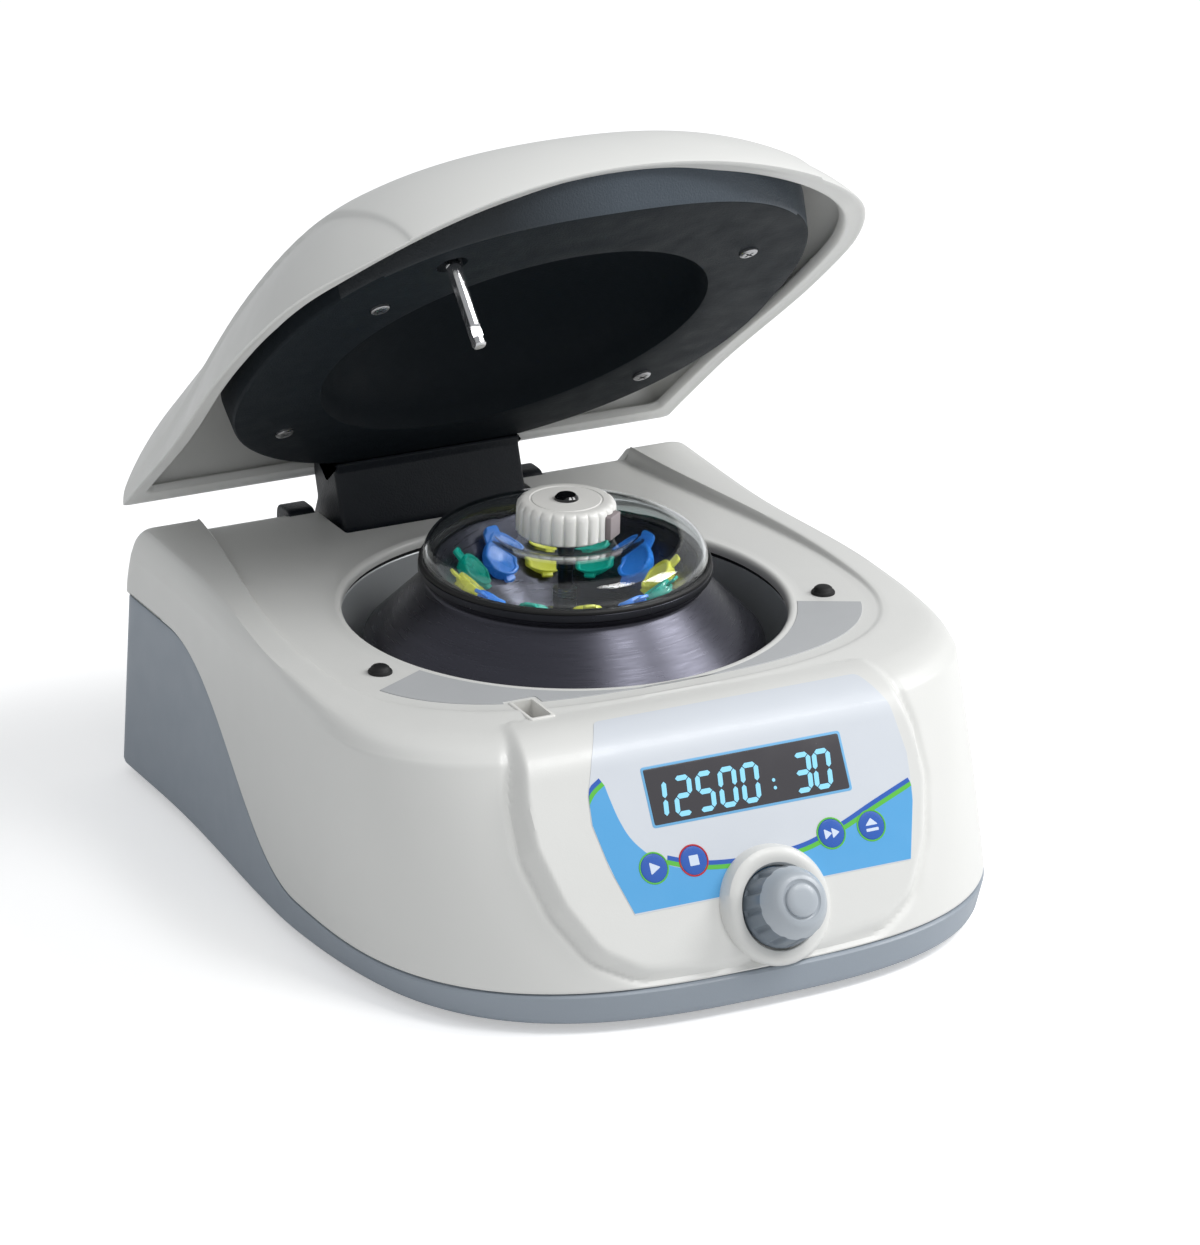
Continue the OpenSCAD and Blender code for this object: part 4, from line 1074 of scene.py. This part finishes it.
def deck_bumpers():
    profile = [(0, 0), (4.1, 0), (4.1, 0.5), (3.9, 0.9), (3.5, 1.0), (3.3, 1.2), (3.1, 1.9), (2.5, 2.4),
               (1.3, 2.58), (0, 2.6)]
    profile = [(r, z + DECK_H) for r, z in profile]
    places = [Matrix.Translation((sx * BUMPER_X, BUMPER_Y, 0)) for sx in (-1, 1)]
    pads = [lathe("bumper", profile, 40, place) for place in places]
    dress(join("bumpers", pads), "rubber", "base", "deck_bumpers", slot="rubber_black")


def latch_frame():
    outline = rounded(rectangle(9.4, 16.6), 1.2)
    surround = prism("latch_surround", outline, DECK_H - 6, DECK_H + 0.5, place=LATCH)
    hole = prism("hole", rounded(rectangle(7.2, 14.2), 0.8), 60, 110, place=LATCH)
    dress(cut(surround, hole), "pale", "base", "latch_frame", slot="trim_white")


# Lid; the scallop's line gives the x of its edge at a number of y
SCALLOP_LINE = smooth_line([(-125, 74.0), (-101, 75.5), (-71, 77.5), (-48, 77.5), (-30, 84.5), (-10, 91.0),
                            (24, 97.0), (70, 103.5), (120, 107.0)], 5)


def lid_ring(angle, inset, drop=0.0):
    a = math.radians(angle)
    s = max(0.0, math.cos(a)) ** LID_POWER
    h = math.sin(a) ** LID_LIFT
    ring = []
    for x, y in plan_half(LID_PLAN, inset):
        z = rim_height(x, y) - drop
        ring.append((x * s, LID_CROWN_Y + (y - LID_CROWN_Y) * s, z + (LID_TOP - inset - z) * h))
    return ring


def scallop(point):
    """Sinks the lid's sides a little behind an arc at their front."""
    x, y, z = point
    edge = SCALLOP_LINE[-1][1]
    for (y1, x1), (y2, x2) in zip(SCALLOP_LINE, SCALLOP_LINE[1:]):
        if y1 <= y <= y2:
            edge = mix(x1, x2, (y - y1) / (y2 - y1))
            break
    sink = SCALLOP_DEPTH * smooth(0.0, SCALLOP_EDGE, abs(x) - edge)
    share = clamp((z - SCALLOP_LOWERED_FROM) / SCALLOP_LOWERED_OVER)
    return (x - math.copysign(sink, x), y, z - SCALLOP_LOWERED * sink * share)


def lid_shell():
    """Lid cover, from its inner crown over the rim's lip to its outer crown."""
    lip = [(1.2, 4.2), (3.0, 5.0), (3.4, 6.2), (4.0, 7.0), (5.0, 7.4), (8.0, 7.5), (12.0, 7.5), (13.2, 7.2),
           (14.0, 6.4), (15.0, 3.2)]
    inner = [(89.2, LID_WALL)] + [(17 + 3 * i, LID_WALL) for i in reversed(range(24))] + lip[::-1]
    rim = [(0, 0.8, 0.4), (0, 0.25, 0.2)]
    outer = [0, 1, 2, 3.5, 5, 7, 9] + [10.5 + 1.5 * i for i in range(40)] + [71, 74, 78, 82, 85, 87.5, 89.2]
    rings = [lid_ring(*values) for values in inner + [(0, LID_WALL + 0.4), (0, LID_WALL - 0.3, 0.3)]]
    rings += [[scallop(p) for p in lid_ring(*values)] for values in rim + [(a, 0.0) for a in outer]]
    dress(half_loft("lid_cover", rings, place=LID), "shell", "lid", "lid_shell", slot="housing_white")


def liner_half(grow, front):
    points = []
    quarter = [math.pi / 2 * i / LINER_STEPS for i in range(LINER_STEPS + 1)]
    for a in quarter:
        x, depth = oval(a, LINER_HALF_W + grow, front, 2.6)
        points.append((x, -depth))
    for a in quarter[1:]:
        y, x = oval(a, LINER_BACK + grow, LINER_HALF_W + grow, 2.2)
        points.append((x, y))
    return points


def lid_liner():
    outer = liner_half(0, LINER_FRONT)
    rings = [at_height(liner_half(grow, front), LINER_Z + rise) for grow, front, rise in
             ((0.8, LINER_RIM_FRONT, LINER_RISE), (0.6, 107.2, 8.5), (0.3, 105.0, 4.5),
              (0.1, LINER_FRONT + 0.3, 1.6), (-0.1, LINER_FRONT - 0.2, 0.6), (-0.6, LINER_FRONT - 0.7, 0.1),
              (-1.2, LINER_FRONT - 1.3, 0.0))]
    dish_edge = at_height(circle_half(DISH_R + 2.2, outer), LINER_Z)
    rings += [between(rings[6], dish_edge, k / 4) for k in range(1, 5)]
    rings.append(at_height(circle_half(DISH_R + 1.0, outer), LINER_Z + 0.25))
    dish = [mix(math.asin(1.2 / DISH_DEPTH), math.pi / 2, i / 24) for i in range(1, 25)]
    back = [mix(math.pi / 2, 0.2, i / 11) for i in range(12)]
    for angles, grow in ((dish, 0), (back, 2)):
        for a in angles:
            ring = circle_half((DISH_R + grow) * math.cos(a), outer)
            rings.append(at_height(ring, LINER_Z + (DISH_DEPTH + grow) * math.sin(a)))
    rings += [at_height(liner_half(-3.5, LINER_FRONT - 3.5), LINER_Z + 2.5),
              at_height(liner_half(0.4, LINER_RIM_FRONT - 2.2), LINER_Z + LINER_RISE)]
    piece = loft("lid_lining", [mirror(r) for r in rings], closed=True, place=LID, sharp=40)
    cut(piece, prism("recess", disc(5.4, 32, LATCH_X, LATCH_Y + 0.6), LINER_Z - 6, LINER_Z + 9, place=LID))
    dress(piece, "liner", "lid", "lid_liner", slot="liner_black")
    closed = LID.inverted()
    band_top = LINER_Z + LINER_RISE - 0.2

    def on_lit_front_wall(middle, normal):
        middle, facing = closed @ middle, closed.to_3x3() @ normal
        return facing.y < -0.45 and middle.y < -30 and middle.xy.length > 85 and middle.z < band_top

    # The front wall's faces take the lighter band colour, a painted highlight
    paint_faces(piece, "liner_band", on_lit_front_wall)


def liner_screws():
    """Pan-head screws with a cross recess, whose heads point down their own Z axis."""
    made = []
    r, top, depth = LINER_SCREW_R, LINER_Z - 1.2, 1.2
    profile = [(0, top), (r * 0.62, top), (r * 0.9, top + 0.18), (r, top + 0.5), (r, top + depth),
               (r * 0.5, top + depth), (r * 0.5, top + depth + 8), (0, top + depth + 8)]
    for sx in (-1, 1):
        for sy in (-1, 1):
            here = LID @ Matrix.Translation((sx * LINER_SCREW_X, sy * LINER_SCREW_Y, 0))
            head = lathe("head", profile, 32, here)
            for turn in (0.6, 0.6 + math.pi / 2):
                cut(head, prism("bar", rectangle(r * 1.15, r * 0.24), top - 1, top + 0.7,
                                place=here @ Matrix.Rotation(turn, 4, "Z"), edge=0.0))
            made.append(head)
    dress(join("lining_screws", made), "steel", "lid", "liner_screws", slot="steel")


def latch_pin():
    pin = lathe("pin", [(0, 62.3), (1.9, 62.3), (2.5, 63.0), (2.5, 106.0), (0, 106.0)], 48, LID @ LATCH)
    for x in (2.9, -2.9):
        cut(pin, prism("flat", rectangle(2.2, 8, LATCH_X + x, LATCH_Y), 60, 92, place=LID))
    cut(pin, prism("notch", rectangle(10, 3, LATCH_X, LATCH_Y - 2.9), 65.4, 69.6, place=LID))
    flange = lathe("flange", [(2.5, 95.0), (7.9, 95.0), (7.9, 98.0), (2.5, 98.0)], 40, LID @ LATCH)
    dress(join("pin", [pin, flange]), "bright", "lid", "latch_pin", slot="bright_steel")


def lid_arm():
    corners = [(89.5, 90.9, 0.4), (92, 89.3, 1.5), (99.8, 70, 4), (106, 67.5, 4), (113, 72, 3),
               (119, 73.6, 2), (125, 80, 5), (119, 87, 3), (112.5, 90, 3), (109.5, 97, 2), (104.5, 106, 1),
               (99.5, 106, 0), (99.5, 91.9, 0.5), (89.5, 91.9, 0.3)]
    outline = rounded([(y, z) for y, z, _ in corners], [radius for _, _, radius in corners], 5)
    arm = prism("arm", outline, -ARM_HALF_W, ARM_HALF_W, place=LID @ TO_SIDE, edge=1.6, foot=1.6, steps=4)
    along = LID @ Matrix.Translation(HINGE) @ Matrix.Rotation(math.pi / 2, 4, "Y")
    end = ARM_HALF_W
    profile = [(3.1, -end), (5.6, -end), (6.3, 0.8 - end), (6.3, end - 0.8), (5.6, end), (3.1, end)]
    barrel = lathe("barrel", profile, 48, along)
    dress(join("lid_arm_block", [arm, barrel]), "arm", "lid", "lid_arm", slot="liner_black")


def hinge_brackets():
    ear = rounded([(113, 68.1), (125, 68.1), (125, 90.2), (113, 90.2)], [0, 0, 4, 4], 6)
    stem = rounded([(108, 6), (120, 6), (120, 69.1), (108, 69.1)], 0.5, 2)
    made = []
    for sx in (-1, 1):
        place = Matrix.Translation((sx * EAR_X, 0, 0)) @ TO_SIDE
        made += [prism("ear", ear, -EAR_HALF_W, EAR_HALF_W, place=place, edge=0.8, foot=0.8),
                 prism("stem", stem, -EAR_HALF_W, EAR_HALF_W, place=place, edge=0.5, foot=0.5)]
    dress(join("hinge_ears", made), "arm", "base", "hinge_brackets", slot="liner_black")


# Bowl, rotor and its lid
def bowl():
    top = DECK_H - WALL - BOWL_WALL
    r = BOWL_R + 0.5
    corners = [(9, 50), (r - 6, 50), (r + 1.5, 58), (r + 1.5, top - 1.5), (r + 7, top - 1.5), (r + 7, top),
               (r, top), (r, 60), (r - 7, 51.5), (9, 51.5)]
    profile = rounded(corners, [0, 8, 6, 0.8, 0.3, 0.3, 0.8, 7, 9, 0], 8)
    dress(lathe("bowl_liner", profile, 128), "bowl", "base", "bowl", slot="bowl_steel")


def rotor():
    corners = [(4.05, 60), (4.05, 77), (17, 77), (44, 104), (50, 104), (50, 101.4), (47, 98.4), (68.5, 77),
               (68.5, 62), (66.5, 60), (46, 60), (34, 72), (22, 72), (20, 60)]
    body = rounded(corners, [0.2, 0.3, 2, 0.8, 0.7, 0.7, 1.6, 3.0, 0.8, 0.8, 1, 2, 2, 1], 6)
    piece = lathe("rotor_body", body, 144)
    for i in range(TUBE_COUNT):
        cut(piece, prism("place", disc(5.6, 32), -8, 38, place=tube_place(i)))
    dress(piece, "rotor", "rotor", "rotor", slot="rotor_black")
    # The flange faces take the darker copy of the rotor's colour, painted shade
    paint_faces(piece, "flange", lambda middle, _: middle.z > FLANGE_LOW and middle.xy.length > FLANGE_IN)
    dress(prism("nut", disc(9, 6), 77, 84, edge=0.8, foot=0.3), "steel", "rotor", "rotor_nut", slot="steel")


def tube_place(i):
    turn = Matrix.Rotation(math.radians((i + 0.5) * TUBE_STEP), 4, "Z")
    return turn @ Matrix.Translation((MOUTH_R, 0, MOUTH_H)) @ Matrix.Rotation(TUBE_TILT, 4, "Y")


def tube(i):
    place = tube_place(i)
    wall = rounded([(0, 37), (2.0, 37), (5.3, 20), (5.3, -1), (6.0, -1), (6.0, -1.9), (4.4, -1.9),
                    (4.4, 20), (1.3, 35.6), (0, 35.6)], [0, 1.2, 2, 0.1, 0.2, 0.2, 0.2, 2, 1, 0], 4)
    cap = rounded([(0, -2.4), (4.3, -2.4), (4.5, -1.95), (6.35, -1.95), (6.35, -4.5), (5.9, -4.8),
                   (5.2, -4.8), (4.9, -4.3), (0, -4.3)], 0.16, 3)
    tab = rounded(rectangle(4.6, 4.4, -7.4, 0), 1.2, 4)
    strap = rounded(rectangle(2.4, 3.6, 6.6, 0), 0.5, 3)
    return [lathe("wall", wall, 40, place), lathe("cap", cap, 40, place),
            prism("tab", tab, -3.4, -2.3, place=place, edge=0.25, foot=0.25),
            prism("strap", strap, -3.3, -1.6, place=place, edge=0.2, foot=0.2)]


def tubes():
    for first, colour in enumerate(TUBE_COLOURS):
        made = []
        for i in range(first, TUBE_COUNT, len(TUBE_COLOURS)):
            made += tube(i)
        key = "tube_" + colour
        dress(join("tubes_in_" + colour, made), key, "rotor", "tubes_" + colour, slot=key)


def rotor_lid():
    curve = [(0, 0), (0.05, 2.2), (0.7, 4.8), (2.6, 7.6), (5.8, 9.8), (10.2, 11.4), (15.0, 12.0),
             (19.6, 11.8), (23.2, 10.9), (26.0, 9.7), (29.0, 9.2), (32, 9.3), (35, 10.0), (38, 10.2),
             (DOME_R - STUD_R, 10.2)]
    outside = smooth_line([(DOME_R - inward, DOME_FOOT + rise) for inward, rise in curve], 8)
    inside = [(max(STUD_R, x), y) for x, y in offset_line(outside, DOME_WALL) if y >= DOME_FOOT]
    dome = lathe("cover_dome", outside + inside[::-1], 160)
    dress(dome, "dome", "rotor_cover", "rotor_lid", slot="dome_clear")
    seal = rounded([(45.0, 104.0), (49.8, 104.0), (49.8, 104.9), (49.2, 105.5), (48.45, 105.5),
                    (48.45, 104.8), (45.0, 104.8)], 0.2, 2)
    dress(lathe("cover_seal", seal, 96), "rubber", "rotor_cover", "rotor_lid_seal", slot="rubber_black")


def rotor_knob():
    top, foot = KNOB_TOP, KNOB_FOOT
    profile = [(14.0, foot, 0.0), (16.3, foot, 0.6), (17.0, foot + 0.7, 1.0), (17.0, top - 2.6, 1.0),
               (16.7, top - 1.4, 1.0), (15.9, top - 0.5, 0.7), (15.0, top - 0.1, 0.3), (14.0, top, 0.0),
               (12.6, top, 0.0), (12.3, top - 0.25, 0.0), (11.9, top - 0.25, 0.0), (11.6, top, 0.0),
               (0.0, top, 0.0), (0.0, foot, 0.0)]
    knob = loft("cover_knob", turned(profile, 240, fluted), closed=True, sharp=40)
    turn = Matrix.Rotation(TAB_ANGLE, 4, "Z")
    hole = rounded(rectangle(8, 8.6, KNOB_R + 0.8, 0), 0.6)
    cut(knob, prism("tab_hole", hole, foot - 1, foot + 8.9, place=turn))
    stud = lathe("stud", [(0, 87.5), (2.3, 87.5), (2.5, 88), (2.5, 103), (3.0, 103.4), (3.0, foot + 1),
                          (0, foot + 1)], 32)
    dress(knob, "pale", "rotor_cover_knob", "rotor_lid_knob", slot="trim_white")
    # The stud takes the rotor's darker copy too, painted shade under the knob
    dress(stud, "flange", "rotor_cover_knob", slot="trim_white")
    cap = rounded([(0, top), (4.2, top), (4.0, top + 0.8), (3.0, top + 1.8), (0, top + 2.1)],
                  [0, 0.1, 0.6, 1.0, 0], 5)
    dress(lathe("knob_button", cap, 48), "black", "rotor_cover_knob", "knob_cap", slot="cap_black")
    outline = rounded(rectangle(3.0, 7.8, KNOB_R - 0.1, 0), 0.5)
    tab = prism("tab", outline, foot + 0.5, foot + 8.7, place=turn, edge=0.5, foot=0.5)
    dress(tab, "tab", "lock_tab", "lock_tab", slot="tab_mauve")


def inner_materials():
    """Gives the CAD nodes that stay their finished materials."""
    keys = {
        "steel": ("housing_screws", "motor_plate", "plate_screws", "dial_encoder", "latch_slider",
                  "hinge_pin", "hinge_springs", "drive_shaft"),
        "rubber": ("feet", "bowl_gasket", "motor_mounts"),
        "black": ("power_inlet", "rocker_switch", "rocker_key"),
        "board": ("drive_board", "display_board"),
        "motor": ("motor",),
        "varnish": ("power_supply",),
        "liner": ("latch_body",)}
    for key, nodes in keys.items():
        for node in nodes:
            mesh = frame["nodes"][node].data
            mesh.materials.clear()
            mesh.materials.append(M[key])


# Room: pale floor, lamps and a plain world
FLOOR_HALF_W = 6.0
FLOOR_GLOW = 0.4
WORLD_STRENGTH = 0.5
LAMP_AIM = Vector((0, 0, 0.1))
LAMPS = [("key", (1.4, -0.5, 1.2), 0.7, 16.0), ("front", (0.55, -0.75, 1.55), 0.5, 8.5)]


def floor():
    mesh = bpy.data.meshes.new("floor")
    mesh.from_pydata(at_height(rectangle(2 * FLOOR_HALF_W, 2 * FLOOR_HALF_W), 0), [], [(0, 1, 2, 3)])
    piece = bpy.data.objects.new("floor", mesh)
    bpy.context.scene.collection.objects.link(piece)
    paint = bpy.data.materials.new("floor")
    paint.use_nodes = True
    tree = paint.node_tree
    shader = tree.nodes["Principled BSDF"]
    set_inputs(shader, Base_Color=(0.93, 0.93, 0.93, 1), Roughness=0.9, Specular_IOR_Level=0.1)
    glow = add_node(tree, "Emission", Strength=FLOOR_GLOW)
    both = add_node(tree, "AddShader")
    tree.links.new(shader.outputs["BSDF"], both.inputs[0])
    tree.links.new(glow.outputs["Emission"], both.inputs[1])
    pick_by_ray(tree, "Is Camera Ray", shader.outputs["BSDF"], both.outputs["Shader"], "Material Output")
    mesh.materials.append(paint)


def world():
    made = bpy.data.worlds.new("world")
    bpy.context.scene.world = made
    made.use_nodes = True
    tree = made.node_tree
    background = tree.nodes["Background"]
    set_inputs(background, Color=(0.96, 0.98, 1.0, 1), Strength=WORLD_STRENGTH)
    white = add_node(tree, "Background", Color=(1, 1, 1, 1), Strength=1.0)
    pick_by_ray(tree, "Is Camera Ray", background.outputs["Background"], white.outputs["Background"],
                "World Output")


def lamps():
    for name, place, side, power in LAMPS:
        lamp = bpy.data.lights.new(name, "AREA")
        lamp.shape = "SQUARE"
        lamp.size = side
        lamp.energy = power
        holder = bpy.data.objects.new(name, lamp)
        holder.location = place
        holder.rotation_euler = (LAMP_AIM - Vector(place)).to_track_quat("-Z", "Y").to_euler()
        bpy.context.scene.collection.objects.link(holder)


def camera():
    data = bpy.data.cameras.new("camera")
    data.lens = CAMERA_LENS
    data.sensor_width = 36.0
    data.clip_end = 20.0
    holder = bpy.data.objects.new("camera", data)
    bpy.context.scene.collection.objects.link(holder)
    turn = (Matrix.Rotation(CAMERA_AZIMUTH, 4, "Z") @ Matrix.Rotation(math.pi / 2 - CAMERA_ELEVATION, 4, "X")
            @ Matrix.Rotation(CAMERA_ROLL, 4, "Z"))
    place = (-CAMERA_OFFSET[0], -CAMERA_OFFSET[1], CAMERA_DISTANCE)
    holder.matrix_world = Matrix.Translation(AIM) @ turn @ Matrix.Translation(place)
    bpy.context.scene.camera = holder


bpy.context.scene.view_settings.view_transform = "Standard"
camera()
floor()
world()
lamps()
upper_housing()
lower_housing()
panel_graphics()
display()
buttons()
dial_collar()
dial()
deck_label()
deck_bumpers()
latch_frame()
lid_shell()
lid_liner()
liner_screws()
latch_pin()
lid_arm()
hinge_brackets()
bowl()
rotor()
tubes()
rotor_lid()
rotor_knob()
inner_materials()
